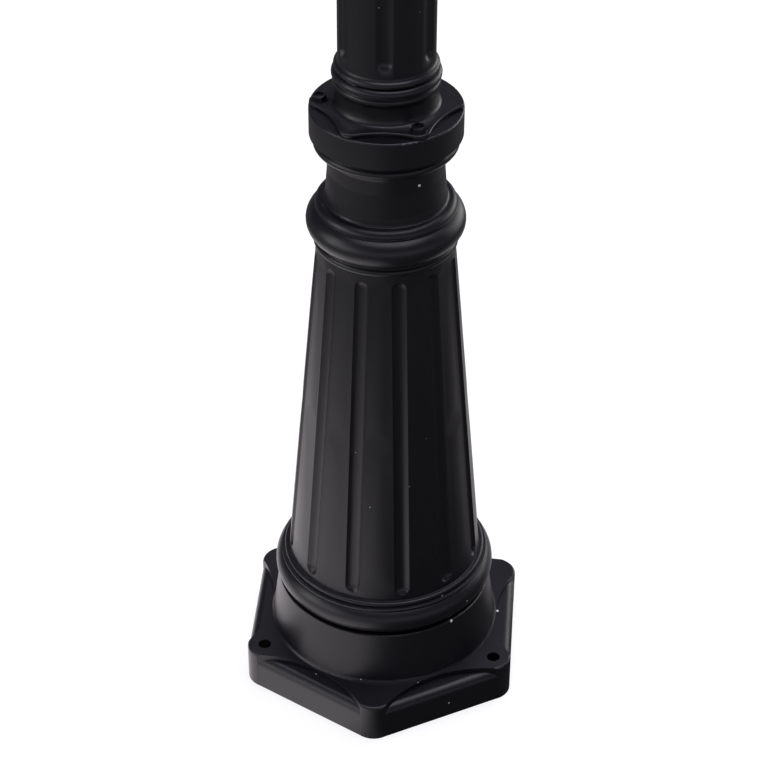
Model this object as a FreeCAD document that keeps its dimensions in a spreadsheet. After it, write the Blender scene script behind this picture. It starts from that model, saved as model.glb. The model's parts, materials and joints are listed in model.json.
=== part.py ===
import FreeCAD, Part
import math
import os
import re

import Sketcher

# Triple head lamp post, cast aluminium. Millimetres, +Z up, origin on its axis at the foot's underside.
# The foot's corners lie at 30 degrees and every 60 degrees after it. Angles are in degrees about Z.

sizes = {
    # Foot casting
    "footCorner": 108.0,  # axis to the hexagon's sharp corner
    "footCornerRound": 15.0,
    "plateTall": 25.0,  # height of the foot along its sides
    "plateEdge": 6.0,  # rounding of the side's upper edge
    "padTall": 29.0,  # height of the six corner pads
    "padEdge": 2.0,
    "padProud": 0.1,  # how far the pads' corners stand out from the foot's sides
    "scallopFar": 167.0,  # axis to the centre of each side's scallop
    "scallopRound": 86.0,
    "fixingFar": 93.8,  # axis to the ground fixing holes
    "fixingHole": 4.5,
    "fixingTurn": 90.0,
    "drumFoot": 79.6,  # drum radius just over the pads
    "drumTop": 74.6,
    "drumTopHigh": 68.3,
    "lowRingMid": 65.8,  # lower torus: radius of its centre circle, its height and its tube
    "lowRingHigh": 79.0,
    "lowRingTube": 11.0,
    "shaftSeat": 88.6,  # height of the face that carries the shaft
    "castWall": 5.0,
    "footHollow": 74.0,
    "seatThick": 9.0,
    "wireHole": 45.0,
    # Fluted shaft
    "shaftTurn": 15.0,
    "baseRing": 72.4,
    "beadFoot": 69.9,
    "shaftFoot": 66.9,
    "shaftFootHigh": 93.8,
    "shaftTop": 45.1,
    "shaftTopHigh": 346.4,
    "shaftFlutes": 12,
    "fluteWide": 10.4,
    "fluteRound": 7.0,
    "shaftFluteLow": 103.5,
    "shaftFluteHigh": 337.0,
    "upRingMid": 40.8,  # upper torus, a flatter arc than its section's height
    "upRingHigh": 363.2,
    "upRingTube": 10.7,
    "neckHalf": 37.5,
    "neckBore": 33.0,
    "flangeHalf": 48.6,
    "flangeLow": 426.8,
    "flangeTop": 445.0,
    "flangeEdge": 1.2,
    "bossFar": 53.5,
    "bossHalf": 8.0,
    "bossTall": 18.0,
    # Screws, by thread
    "bigScrew": 3.0,
    "smallScrew": 2.5,
    "screwGap": 0.05,
    "holeGap": 0.25,
    "hexAcross": 8.0,
    "hexTall": 3.5,
    "seatGap": 0.3,
    # Lower pole
    "poleTurn": 32.5,
    "poleHalf": 30.4,
    "poleBore": 24.0,
    "lobeTip": 48.2,
    "lobeRound": 8.0,
    "lobeValley": 39.6,
    "lobePlate": 3.0,
    "flangeBoltFar": 41.5,
    "flangeBoltLong": 13.0,
    "spotFace": 5.5,  # milled seats of the bolt heads, into the foot of the pole's skirt
    "skirtFoot": 37.6,
    "poleFlutes": 6,
    "poleFluteLow": 490.2,
    "poleFluteEnd": 70.0,  # distance from each flute's end to the pole's end
    "lowerPoleTop": 1060.0,
    # Joint and upper pole
    "collarLow": 1040.0,
    "collarTop": 1108.0,
    "collarHalf": 34.0,
    "slipGap": 0.1,
    "sleeveHalfTall": 60.0,
    "sleeveWall": 3.0,
    "setScrewLong": 9.0,
    "upperPoleHalf": 27.5,
    "upperFluteWide": 9.0,
    "upperPoleTop": 1716.0,
    # Hub and arms
    "armHigh": 1740.0,
    "hubLow": 1692.0,
    "hubBossHalf": 22.5,
    "hubBossFar": 56.0,
    "hubTop": 1800.0,
    "hubCavity": 26.0,
    "finialStud": 4.0,
    "armTube": 11.0,
    "armBore": 6.0,
    "armFlangeThick": 6.0,
    "armBoltFar": 16.6,
    "armBoltLong": 12.0,
    "armStraight": 18.2,
    "armDipRound": 45.0,
    "armDip": 50.0,  # angle by which the arm turns down before it turns up
    "armRiseRound": 80.0,
    "curlTube": 6.0,
    "curlStart": 25.0,
    "curlRound": 34.0,
    "curlInner": 20.0,
    "curlTurn": 150.0,
    "curlBall": 9.0,
    "armSeatHalf": 26.0,
    "armSeatThick": 6.0,
    "leadHalf": 3.25,
    "leadOff": 9.0,
    "leadBend": 30.0,
    # Terminal parts inside the shaft
    "terminalLow": 165.0,
    "terminalTall": 50.0,
    "terminalWide": 56.0,
    "terminalDeep": 30.0,
    "stripThick": 2.0,
    "stripWide": 40.0,
    "stripFoot": 42.0,
    # Lantern, measured from the arm's seat, its own X pointing away from the post
    "nippleHalf": 5.0,
    "nippleBore": 3.7,
    "nippleOver": 20.0,
    "cupNeck": 15.0,
    "cupFloor": 18.0,
    "cupRim": 60.0,
    "cupPlate": 72.0,
    "cupPlateThick": 6.0,
    "cageLow": 40.0,
    "cageTop": 235.0,
    "cageFoot": 66.0,
    "cageHead": 108.0,
    "cageWall": 4.2,
    "cagePost": 8.0,
    "cageLowRail": 9.0,
    "cageTopRail": 13.0,
    "windowArch": 75.0,
    "paneGap": 0.4,
    "paneThick": 3.0,
    "paneSlot": 1.0,
    "eaveCorner": 118.0,
    "eaveThick": 6.0,
    "eaveRound": 2.5,
    "roofWall": 5.0,
    "chimneyHalf": 22.0,
    "chimneyWall": 5.0,
    "chimneyLow": 312.0,
    "chimneyTop": 334.0,
    "ventHole": 4.0,
    "hoodHalf": 36.0,
    "hoodTop": 354.0,
    "topStud": 3.0,
    "topBall": 8.0,
    "hingeOff": 4.7,
    "hingeRing": 4.0,
    "hingePin": 1.6,
    "hingeTab": 23.4,
    "hingeEar": 10.0,
    "tabThick": 4.0,
    "latchOff": 7.5,
    "latchEnd": 16.0,
    "latchWide": 16.0,
    "latchLug": 6.0,
    "latchPin": 2.5,
    "latchHole": 3.3,
    "latchHead": 7.5,
    "latchHeadTall": 8.0,
    # Lampholder and bulb
    "holderHalf": 20.0,
    "holderTop": 62.0,
    "holderFloor": 34.0,
    "bulbCapHalf": 13.25,
    "bulbCapTop": 60.0,
    "bulbBall": 30.0,
    "bulbBallHigh": 108.0,
    "bulbWall": 1.0,
}

headTurns = {"left": "210", "right": "330", "rear": "90"}
fixingTurns = ["fixingTurn + %d" % extra for extra in (0, 120, 240)]
boltTurns = ["poleTurn + %d" % extra for extra in (30, 150, 270)]
seatTurns = ["fixingTurn + %d" % extra for extra in (60, 180, 300)]

doc = FreeCAD.newDocument("lampPost")
sheet = doc.addObject("Spreadsheet::Sheet", "Sizes")
for row, (alias, number) in enumerate(sizes.items(), 1):
    sheet.set("A%d" % row, alias)
    sheet.set("B%d" % row, str(number))
    sheet.setAlias("B%d" % row, alias)
doc.recompute()

pieces = []
upright = FreeCAD.Vector(0, 0, 1)


def full(text):
    """The text as a FreeCAD expression, each size named by its cell."""
    return re.sub(r"[A-Za-z]\w*", lambda word: sheetWord(word.group()), str(text))


def sheetWord(word):
    return "Sizes." + word if word in sizes else word


def value(text):
    return float(sheet.evalExpression(full(text)))


def bind(item, name, text):
    item.setExpression(name, full(text))


def keep(item, label):
    """Names a finished piece, which is written to its own file."""
    item.Label = label
    pieces.append(item)
    return item


def place(item, far="0", low="0", turn="0", tilt=0):
    """Puts an item at a distance from the axis, a height and an angle; tilt 90 lays it outwards."""
    swing = FreeCAD.Rotation(upright, value(turn)) * FreeCAD.Rotation(FreeCAD.Vector(0, 1, 0), tilt)
    item.Placement = FreeCAD.Placement(FreeCAD.Vector(), swing)
    bind(item, ".Placement.Base.x", "(%s) * cos(%s)" % (far, turn))
    bind(item, ".Placement.Base.y", "(%s) * sin(%s)" % (far, turn))
    bind(item, ".Placement.Base.z", low)
    return item


# Sketches

def arcBetween(here, there, radius, turn):
    across = (there[0] - here[0], there[1] - here[1])
    half = math.hypot(*across) / 2
    if radius < half:
        raise ValueError("an arc of radius %.3f can't span %.3f" % (radius, 2 * half))
    rise = math.sqrt(radius**2 - half**2) * (1 if turn == "left" else -1)
    centre = (
        (here[0] + there[0]) / 2 - across[1] / (2 * half) * rise,
        (here[1] + there[1]) / 2 + across[0] / (2 * half) * rise,
    )
    ends = [math.atan2(spot[1] - centre[1], spot[0] - centre[0]) for spot in (here, there)]
    first, last = ends if turn == "left" else reversed(ends)
    if last < first:
        last += 2 * math.pi
    circle = Part.Circle(FreeCAD.Vector(*centre, 0), upright, radius)
    return Part.ArcOfCircle(circle, first, last)


def draw(sketch, marks, closed=True):
    """Draws an outline. A mark is x and y, and then turn and radius where an arc goes to the next mark."""
    spots = [(value(mark[0]), value(mark[1])) for mark in marks]
    ends = []
    for step in range(len(marks) if closed else len(marks) - 1):
        here = spots[step]
        there = spots[(step + 1) % len(spots)]
        if len(marks[step]) == 2:
            line = Part.LineSegment(FreeCAD.Vector(*here, 0), FreeCAD.Vector(*there, 0))
            ends.append((sketch.addGeometry(line, False), 1, 2))
            continue
        turn, radius = marks[step][2:]
        index = sketch.addGeometry(arcBetween(here, there, value(radius), turn), False)
        ends.append((index, 1, 2) if turn == "left" else (index, 2, 1))
        number = sketch.addConstraint(Sketcher.Constraint("Radius", index, value(radius)))
        bind(sketch, "Constraints[%d]" % number, radius)
    for step in range(len(ends) if closed else len(ends) - 1):
        follower = ends[(step + 1) % len(ends)]
        meet = Sketcher.Constraint("Coincident", ends[step][0], ends[step][2], follower[0], follower[1])
        sketch.addConstraint(meet)
    for step, mark in enumerate(marks):
        index, first, last = ends[min(step, len(ends) - 1)]
        corner = first if step < len(ends) else last
        for kind, text in (("DistanceX", mark[0]), ("DistanceY", mark[1])):
            number = sketch.addConstraint(Sketcher.Constraint(kind, -1, 1, index, corner, value(text)))
            bind(sketch, "Constraints[%d]" % number, text)


def drawCircle(sketch, x, y, radius):
    circle = Part.Circle(FreeCAD.Vector(value(x), value(y), 0), upright, value(radius))
    index = sketch.addGeometry(circle, False)
    rules = (
        (Sketcher.Constraint("DistanceX", -1, 1, index, 3, value(x)), x),
        (Sketcher.Constraint("DistanceY", -1, 1, index, 3, value(y)), y),
        (Sketcher.Constraint("Radius", index, value(radius)), radius),
    )
    for rule, text in rules:
        number = sketch.addConstraint(rule)
        bind(sketch, "Constraints[%d]" % number, text)


def newBody(name):
    return doc.addObject("PartDesign::Body", name)


def originPart(body, role):
    return [item for item in body.Origin.OriginFeatures if item.Role == role][0]


def newSketch(body, role, lift="0"):
    sketch = body.newObject("Sketcher::SketchObject", body.Name + "Sketch")
    sketch.AttachmentSupport = [(originPart(body, role), "")]
    sketch.MapMode = "FlatFace"
    sketch.AttachmentOffset = FreeCAD.Placement(FreeCAD.Vector(0, 0, value(lift)), FreeCAD.Rotation())
    bind(sketch, ".AttachmentOffset.Base.z", lift)
    return sketch


def hexagon(corner, rounding=None):
    """A hexagon with corners at 30 degrees and every 60 after it, sharp or rounded."""
    marks = []
    for turn in range(30, 390, 60):
        if rounding is None:
            marks.append(("(%s) * cos(%d)" % (corner, turn), "(%s) * sin(%d)" % (corner, turn)))
            continue
        reach = "(%s) * tan(30)" % rounding
        spot = "(%s) * %s(%d) %s %s * %s(%d)"
        before = [spot % (corner, way, turn, "-", reach, way, turn + 60) for way in ("cos", "sin")]
        after = [spot % (corner, way, turn, "+", reach, way, turn + 120) for way in ("cos", "sin")]
        marks.append((before[0], before[1], "left", rounding))
        marks.append((after[0], after[1]))
    return marks


# Features

def revolve(body, marks, cut=False):
    sketch = newSketch(body, "XZ_Plane")
    draw(sketch, marks)
    kind = "Groove" if cut else "Revolution"
    feature = body.newObject("PartDesign::" + kind, body.Name + kind)
    feature.Profile = sketch
    feature.ReferenceAxis = (sketch, ["V_Axis"])
    feature.Angle = 360
    body.Tip = feature
    return feature


def extrude(body, shapes, tall, lift="0", role="XY_Plane", cut=False, both=False):
    """Adds or cuts outlines and circles along the plane's normal, from the lifted plane or to both sides."""
    sketch = newSketch(body, role, lift)
    for shape in shapes:
        if shape[0] == "circle":
            drawCircle(sketch, *shape[1:])
        else:
            draw(sketch, shape)
    kind = "Pocket" if cut else "Pad"
    feature = body.newObject("PartDesign::" + kind, body.Name + kind)
    feature.Profile = sketch
    feature.Midplane = both
    feature.Reversed = cut and not both
    bind(feature, "Length", tall)
    body.Tip = feature
    return feature


def loft(body, rings, cut=False):
    """A straight-sided loft through sharp hexagons, each given by its corner distance and height."""
    sections = []
    for corner, high in rings:
        sketch = newSketch(body, "XY_Plane", high)
        draw(sketch, hexagon(corner))
        sections.append(sketch)
    kind = "SubtractiveLoft" if cut else "AdditiveLoft"
    feature = body.newObject("PartDesign::" + kind, body.Name + kind)
    feature.Profile = sections[0]
    feature.Sections = sections[1:]
    feature.Ruled = True
    body.Tip = feature
    return feature


def sweep(body, marks, radius, start, role="YZ_Plane", cut=False):
    """A round bar along a path in the XZ plane; start is the circle's offset and its place in the plane."""
    route = newSketch(body, "XZ_Plane")
    draw(route, marks, closed=False)
    section = newSketch(body, role, start[0])
    drawCircle(section, start[1], start[2], radius)
    kind = "SubtractivePipe" if cut else "AdditivePipe"
    feature = body.newObject("PartDesign::" + kind, body.Name + kind)
    feature.Profile = section
    feature.Spine = (route, ["Edge%d" % (step + 1) for step in range(len(marks) - 1)])
    body.Tip = feature
    return feature


def polar(body, feature, count):
    pattern = body.newObject("PartDesign::PolarPattern", body.Name + "Pattern")
    pattern.Originals = [feature]
    pattern.Axis = (originPart(body, "Z_Axis"), [""])
    pattern.Angle = 360
    bind(pattern, "Occurrences", count)
    body.Tip = pattern
    return pattern


def soften(body, radius, chosen):
    """Rounds the edges of the body's last feature that the given test picks."""
    doc.recompute()
    base = body.Tip
    names = ["Edge%d" % number for number, edge in enumerate(base.Shape.Edges, 1) if chosen(edge)]
    if not names:
        raise ValueError("no edge of %s was picked" % body.Name)
    fillet = body.newObject("PartDesign::Fillet", body.Name + "Fillet")
    fillet.Base = (base, names)
    bind(fillet, "Radius", radius)
    body.Tip = fillet
    return fillet


def flatAt(high):
    """Picks the edges that lie level at a height."""
    level = value(high)

    def test(edge):
        box = edge.BoundBox
        return abs(box.ZMin - level) < 0.01 and abs(box.ZMax - level) < 0.01

    return test


def flutes(body, foot, top, wide, rounding, count):
    """Round-ended flutes along a straight or tapered side; foot and top are radius and height."""
    slope = "atan((%s - %s) / (%s - %s))" % (foot[0], top[0], top[1], foot[1])
    lean, climb = "sin(%s)" % slope, "cos(%s)" % slope
    out = "sqrt((%s) ^ 2 - (%s) ^ 2 / 4)" % (rounding, wide)
    low = ("%s + %s" % (foot[0], out), foot[1])
    high = ("%s + %s" % (top[0], out), top[1])
    marks = [
        ("%s + %s * %s" % (low[0], rounding, lean), "%s - %s * %s" % (low[1], rounding, climb),
         "right", rounding),
        ("%s - %s * %s" % (low[0], rounding, climb), "%s - %s * %s" % (low[1], rounding, lean)),
        ("%s - %s * %s" % (high[0], rounding, climb), "%s - %s * %s" % (high[1], rounding, lean),
         "right", rounding),
        ("%s - %s * %s" % (high[0], rounding, lean), "%s + %s * %s" % (high[1], rounding, climb)),
    ]
    sketch = newSketch(body, "XZ_Plane")
    draw(sketch, marks)
    ends = [FreeCAD.Vector(value(mark[0]), value(mark[1]), 0) for mark in (marks[0], marks[3])]
    axis = sketch.addGeometry(Part.LineSegment(*ends), True)
    sketch.addConstraint(Sketcher.Constraint("Coincident", axis, 1, 0, 2))
    sketch.addConstraint(Sketcher.Constraint("Coincident", axis, 2, 3, 1))
    groove = body.newObject("PartDesign::Groove", body.Name + "Flute")
    groove.Profile = sketch
    groove.ReferenceAxis = (sketch, ["Axis0"])
    groove.Angle = 360
    body.Tip = groove
    return polar(body, groove, count)


# Plain solids and joining

def rod(radius, tall, far="0", low="0", turn="0", tilt=0):
    item = doc.addObject("Part::Cylinder", "Rod")
    bind(item, "Radius", radius)
    bind(item, "Height", tall)
    return place(item, far, low, turn, tilt)


def hexHead(far, low, turn, tilt=0):
    item = doc.addObject("Part::Prism", "HexHead")
    item.Polygon = 6
    bind(item, "Circumradius", "hexAcross / 2 / cos(30)")
    bind(item, "Height", "hexTall")
    return place(item, far, low, turn, tilt)


def block(wide, deep, tall, x, y, z):
    item = doc.addObject("Part::Box", "Block")
    for name, text in (("Length", wide), ("Width", deep), ("Height", tall)):
        bind(item, name, text)
    for name, text in (("x", x), ("y", y), ("z", z)):
        bind(item, ".Placement.Base." + name, text)
    return item


def fuse(items, name="Fused"):
    item = doc.addObject("Part::MultiFuse", name)
    item.Shapes = items
    return item


def cut(base, tools, name="Trimmed"):
    item = doc.addObject("Part::Cut", name)
    item.Base = base
    item.Tool = tools[0] if len(tools) == 1 else fuse(tools)
    return item


def group(items, name="Group"):
    item = doc.addObject("Part::Compound", name)
    item.Links = items
    return item


# The post, from the ground up

def footCasting():
    plate = newBody("FootPlate")
    extrude(plate, [hexagon("footCorner - padProud", "footCornerRound")], "plateTall")
    soften(plate, "plateEdge", flatAt("plateTall"))

    pads = newBody("FootPads")
    extrude(pads, [hexagon("footCorner", "footCornerRound")], "padTall")
    soften(pads, "padEdge", flatAt("padTall"))
    scallop = extrude(pads, [("circle", "scallopFar", "0", "scallopRound")], "padTall * 2",
                      cut=True, both=True)
    polar(pads, scallop, "6")

    drum = newBody("FootDrum")
    ringIn = "lowRingMid + lowRingTube * cos(62)"
    revolve(drum, [
        ("0", "plateTall / 2"),
        ("drumFoot + 1.4", "plateTall / 2"),
        ("drumFoot + 1.4", "padTall", "right", "3.2"),
        ("drumFoot", "padTall + 2.4"),
        ("drumTop", "drumTopHigh - 0.8", "left", "1.2"),
        ("drumTop - 1.0", "drumTopHigh"),
        (ringIn + " - 1.0", "drumTopHigh + 0.3"),
        (ringIn, "lowRingHigh - lowRingTube * sin(62)", "left", "lowRingTube"),
        (ringIn, "lowRingHigh + lowRingTube * sin(60)"),
        (ringIn, "shaftSeat"),
        ("0", "shaftSeat"),
    ])

    hollow = newBody("FootHollow")
    under = "shaftSeat - seatThick"
    revolve(hollow, [
        ("0", "-1"),
        ("footHollow", "-1"),
        ("footHollow", "plateTall - castWall"),
        ("drumTop - castWall", "drumTopHigh - castWall"),
        ("lowRingMid - castWall", under),
        ("wireHole", under),
        ("wireHole", "shaftSeat + 1"),
        ("0", "shaftSeat + 1"),
    ])
    tools = [hollow]
    tools += [rod("fixingHole", "padTall + 2", "fixingFar", "-1", turn) for turn in fixingTurns]
    for turn in seatTurns:
        tools.append(rod("bigScrew + holeGap", "seatThick + 2", "bossFar", under + " - 1", turn))
    tools.append(rod("smallScrew", "seatThick + 2", "bossFar", under + " - 1", "180"))
    tools.append(rod("smallScrew", "seatThick + 2", "bossFar", under + " - 1", "90"))
    keep(cut(fuse([plate, pads, drum]), tools), "foot_casting")


def flutedShaft():
    shaft = newBody("Shaft")
    revolve(shaft, [
        ("shaftFoot - castWall", "shaftSeat"),
        ("baseRing", "shaftSeat"),
        ("baseRing", "shaftSeat + 1.0"),
        ("baseRing - 0.5", "shaftSeat + 1.4"),
        ("beadFoot", "shaftSeat + 1.6"),
        ("beadFoot", "shaftSeat + 2.2", "left", "1.8"),
        ("shaftFoot + 1.0", "shaftFootHigh - 0.2"),
        ("shaftFoot", "shaftFootHigh"),
        ("shaftTop", "shaftTopHigh"),
        ("shaftTop", "shaftTopHigh + 0.3", "left", "2.7"),
        ("shaftTop + 0.4", "shaftTopHigh + 5.2"),
        ("shaftTop", "shaftTopHigh + 5.8"),
        ("shaftTop", "shaftTopHigh + 6.4"),
        ("upRingMid + 4.7", "upRingHigh - 9.6", "left", "upRingTube"),
        ("upRingMid + 4.5", "upRingHigh + 9.7"),
        ("upRingMid + 4.9", "upRingHigh + 10.0"),
        ("upRingMid + 4.9", "upRingHigh + 10.9"),
        ("upRingMid + 4.4", "upRingHigh + 11.4"),
        ("upRingMid + 5.0", "upRingHigh + 12.0", "left", "4.8"),
        ("upRingMid + 0.2", "upRingHigh + 16.2", "right", "1.8"),
        ("neckHalf + 1.8", "upRingHigh + 18.0"),
        ("neckHalf + 1.2", "upRingHigh + 22.0"),
        ("neckHalf + 0.5", "upRingHigh + 31.4"),
        ("neckHalf", "upRingHigh + 38.1"),
        ("neckHalf", "flangeLow - 15.8", "right", "6.7"),
        ("neckHalf + 4.5", "flangeLow - 9.5"),
        ("neckHalf + 4.8", "flangeLow - 9.2", "left", "3.1"),
        ("neckHalf + 7.3", "flangeLow - 3.6"),
        ("neckHalf + 7.0", "flangeLow - 3.2", "right", "3.4"),
        ("flangeHalf - 2.2", "flangeLow - 0.8"),
        ("flangeHalf", "flangeLow"),
        ("flangeHalf", "flangeTop - flangeEdge", "left", "flangeEdge"),
        ("flangeHalf - flangeEdge", "flangeTop"),
        ("neckBore", "flangeTop"),
        ("neckBore", "upRingHigh + 18.0"),
        ("shaftTop - castWall", "shaftTopHigh - 1.6"),
    ])
    flutes(shaft, ("shaftFoot - 1.0", "shaftFluteLow"), ("shaftTop + 0.9", "shaftFluteHigh"),
           "fluteWide", "fluteRound", "shaftFlutes")
    place(shaft, turn="shaftTurn")
    bosses = [rod("bossHalf", "bossTall", "bossFar", "shaftSeat", turn) for turn in seatTurns]
    deep = "bossTall - 2"
    tools = [rod("bigScrew + screwGap", deep, "bossFar", "shaftSeat - 0.01", turn) for turn in seatTurns]
    tapped = "(flangeBoltLong + 1)"
    for turn in boltTurns:
        tools.append(rod("smallScrew", tapped, "flangeBoltFar", "flangeTop - " + tapped + " + 0.01", turn))
    keep(cut(fuse([shaft] + bosses), tools), "fluted_shaft")


def shaftScrews():
    under = "shaftSeat - seatThick"
    screws = []
    for turn in seatTurns:
        head = rod("bigScrew * 1.7", "bigScrew * 1.1", "bossFar", under + " - bigScrew * 1.1", turn)
        shank = rod("bigScrew", "seatThick + 12", "bossFar", under, turn)
        screws.append(fuse([head, shank]))
    keep(group(screws), "shaft_screws")


def lobeOutline():
    """Six round lobes with tangent hollows between them."""
    middle = "(lobeTip - lobeRound)"
    near = "(lobeRound + %s * cos(30) - lobeValley)" % middle
    square = "(lobeValley ^ 2 + %s ^ 2 - 2 * lobeValley * %s * cos(30) - lobeRound ^ 2)" % (middle, middle)
    hollow = "(%s / (2 * %s))" % (square, near)
    far = "(lobeValley + %s)" % hollow
    share = "(lobeRound / (lobeRound + %s))" % hollow
    marks = []
    for turn in range(30, 390, 60):
        spots = []
        for side in (-30, 30):
            spot = []
            for way in ("cos", "sin"):
                lobe = "%s * %s(%d)" % (middle, way, turn)
                gap = "%s * %s(%d)" % (far, way, turn + side)
                spot.append("%s + (%s - %s) * %s" % (lobe, gap, lobe, share))
            spots.append(spot)
        marks.append((*spots[0], "left", "lobeRound"))
        marks.append((*spots[1], "right", hollow))
    return marks


def lowerPole():
    plate = newBody("PolePlate")
    extrude(plate, [lobeOutline()], "lobePlate", "flangeTop")
    soften(plate, "1.0", flatAt("flangeTop + lobePlate"))
    pole = newBody("PoleTube")
    revolve(pole, [
        ("poleBore", "flangeTop"),
        ("skirtFoot", "flangeTop"),
        ("skirtFoot", "flangeTop + lobePlate + 1.2", "right", "14"),
        ("skirtFoot - 3.9", "flangeTop + 14.4"),
        ("skirtFoot - 3.9", "flangeTop + 16.6"),
        ("skirtFoot - 3.0", "flangeTop + 17.2", "left", "2.4"),
        ("skirtFoot - 3.4", "flangeTop + 20.6"),
        ("skirtFoot - 4.6", "flangeTop + 21.2"),
        ("skirtFoot - 4.6", "flangeTop + 21.8"),
        ("skirtFoot - 3.8", "flangeTop + 22.3", "left", "3.4"),
        ("poleHalf + 1.1", "flangeTop + 27.6"),
        ("poleHalf + 1.3", "flangeTop + 28.3"),
        ("poleHalf + 2.4", "flangeTop + 29.0", "left", "2.6"),
        ("poleHalf + 1.2", "flangeTop + 32.2", "right", "2.7"),
        ("poleHalf", "flangeTop + 34.6"),
        ("poleHalf", "lowerPoleTop"),
        ("poleBore", "lowerPoleTop"),
    ])
    flutes(pole, ("poleHalf", "poleFluteLow"), ("poleHalf", "lowerPoleTop - poleFluteEnd"),
           "fluteWide", "fluteRound", "poleFlutes")
    place(pole, turn="poleTurn")
    place(plate, turn="poleTurn")
    tools = [rod("poleBore", "lobePlate + 2", low="flangeTop - 1")]
    for turn in boltTurns:
        tools.append(rod("smallScrew + holeGap", "lobePlate + 2", "flangeBoltFar", "flangeTop - 1", turn))
        tools.append(rod("spotFace", "12", "flangeBoltFar", "flangeTop + lobePlate", turn))
    keep(cut(fuse([pole, plate]), tools), "lower_pole")


def flangeBolts():
    bolts = []
    seat = "flangeTop + lobePlate"
    for turn in boltTurns:
        shank = rod("smallScrew - screwGap", "flangeBoltLong + lobePlate", "flangeBoltFar",
                    seat + " - flangeBoltLong - lobePlate", turn)
        bolts.append(fuse([hexHead("flangeBoltFar", seat, turn), shank]))
    keep(group(bolts), "flange_bolts")


def terminals():
    strip = [
        block("stripWide", "stripThick", "terminalLow + terminalTall - shaftSeat",
              "-stripWide / 2", "terminalDeep / 2", "shaftSeat"),
        block("stripWide", "stripFoot", "stripThick", "-stripWide / 2", "terminalDeep / 2", "shaftSeat"),
    ]
    holes = [rod("smallScrew + holeGap", "stripThick + 2", "bossFar", "shaftSeat - 1", "90")]
    middle = "terminalLow + terminalTall / 2"
    holes.append(rod("smallScrew + holeGap", "stripThick + 2", "terminalDeep / 2 - 1", middle, "90", 90))
    keep(cut(fuse(strip), holes), "terminal_bracket")

    body = block("terminalWide", "terminalDeep", "terminalTall", "-terminalWide / 2", "-terminalDeep / 2",
                 "terminalLow")
    bore = rod("smallScrew", "14", "terminalDeep / 2 - 14", middle, "90", 90)
    keep(cut(body, [bore]), "terminal_block")

    footSeat = "shaftSeat + stripThick"
    footScrew = fuse([
        rod("smallScrew * 1.8", "3", "bossFar", footSeat, "90"),
        rod("smallScrew - screwGap", "stripThick + 7", "bossFar", "shaftSeat - 7", "90"),
    ])
    backSeat = "terminalDeep / 2 + stripThick"
    backScrew = fuse([
        rod("smallScrew * 1.8", "3", backSeat, middle, "90", 90),
        rod("smallScrew - screwGap", "stripThick + 12", backSeat + " - stripThick - 12", middle, "90", 90),
    ])
    keep(group([footScrew, backScrew]), "terminal_screws")

    earth = fuse([
        rod("smallScrew * 2.2", "1", "bossFar", "shaftSeat", "180"),
        rod("smallScrew * 1.8", "3.5", "bossFar", "shaftSeat + 1", "180"),
        rod("smallScrew - screwGap", "8.5", "bossFar", "shaftSeat - 7.5", "180"),
    ])
    keep(earth, "earth_screw")


def poleJoint():
    sleeve = newBody("Sleeve")
    low = "lowerPoleTop - sleeveHalfTall"
    high = "lowerPoleTop + sleeveHalfTall"
    inner = "poleBore - slipGap - sleeveWall"
    revolve(sleeve, [
        (inner, low), ("poleBore - slipGap", low), ("poleBore - slipGap", high), (inner, high),
    ])
    collar = newBody("Collar")
    revolve(collar, [
        ("poleHalf + slipGap", "collarLow"),
        ("collarHalf", "collarLow", "left", "1.5"),
        ("collarHalf", "collarLow + 2.6"),
        ("collarHalf - 0.6", "collarLow + 3.2"),
        ("collarHalf", "collarLow + 4.0", "left", "6.0"),
        ("collarHalf", "collarLow + 13.0"),
        ("collarHalf - 0.6", "collarLow + 13.8"),
        ("collarHalf", "collarLow + 14.8", "right", "60"),
        ("collarHalf", "collarTop - 18"),
        ("collarHalf - 0.8", "collarTop - 17"),
        ("collarHalf", "collarTop - 16", "left", "5.0"),
        ("collarHalf - 1.2", "collarTop - 8"),
        ("collarHalf - 2.2", "collarTop - 7"),
        ("collarHalf - 2.0", "collarTop - 6", "right", "8"),
        ("upperPoleHalf + slipGap + 1.6", "collarTop"),
        ("upperPoleHalf + slipGap", "collarTop"),
        ("upperPoleHalf + slipGap", "lowerPoleTop + slipGap"),
        ("poleHalf + slipGap", "lowerPoleTop + slipGap"),
    ])
    setHigh = "(lowerPoleTop + collarTop - 18) / 2"
    holes = []
    screws = []
    for turn in boltTurns:
        holes.append(rod("smallScrew", "20", "upperPoleHalf - 1", setHigh, turn, 90))
        screws.append(rod("smallScrew - screwGap", "setScrewLong", "upperPoleHalf - 3", setHigh, turn, 90))
    keep(sleeve, "joint_sleeve")
    keep(cut(collar, holes), "joint_collar")
    keep(group(screws), "collar_screws")
    return setHigh


def upperPole(setHigh):
    pole = newBody("UpperTube")
    revolve(pole, [
        ("poleBore", "lowerPoleTop"),
        ("upperPoleHalf", "lowerPoleTop"),
        ("upperPoleHalf", "upperPoleTop"),
        ("poleBore", "upperPoleTop"),
    ])
    flutes(pole, ("upperPoleHalf", "collarTop + poleFluteEnd / 3"),
           ("upperPoleHalf", "hubLow - poleFluteEnd / 3"), "upperFluteWide", "fluteRound", "poleFlutes")
    place(pole, turn="poleTurn")
    holes = [rod("smallScrew", "20", "upperPoleHalf - 3.1", setHigh, turn, 90) for turn in boltTurns]
    holes += [rod("smallScrew", "20", "upperPoleHalf - 2.1", "hubLow + 8", turn, 90) for turn in boltTurns]
    keep(cut(pole, holes), "upper_pole")


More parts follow.
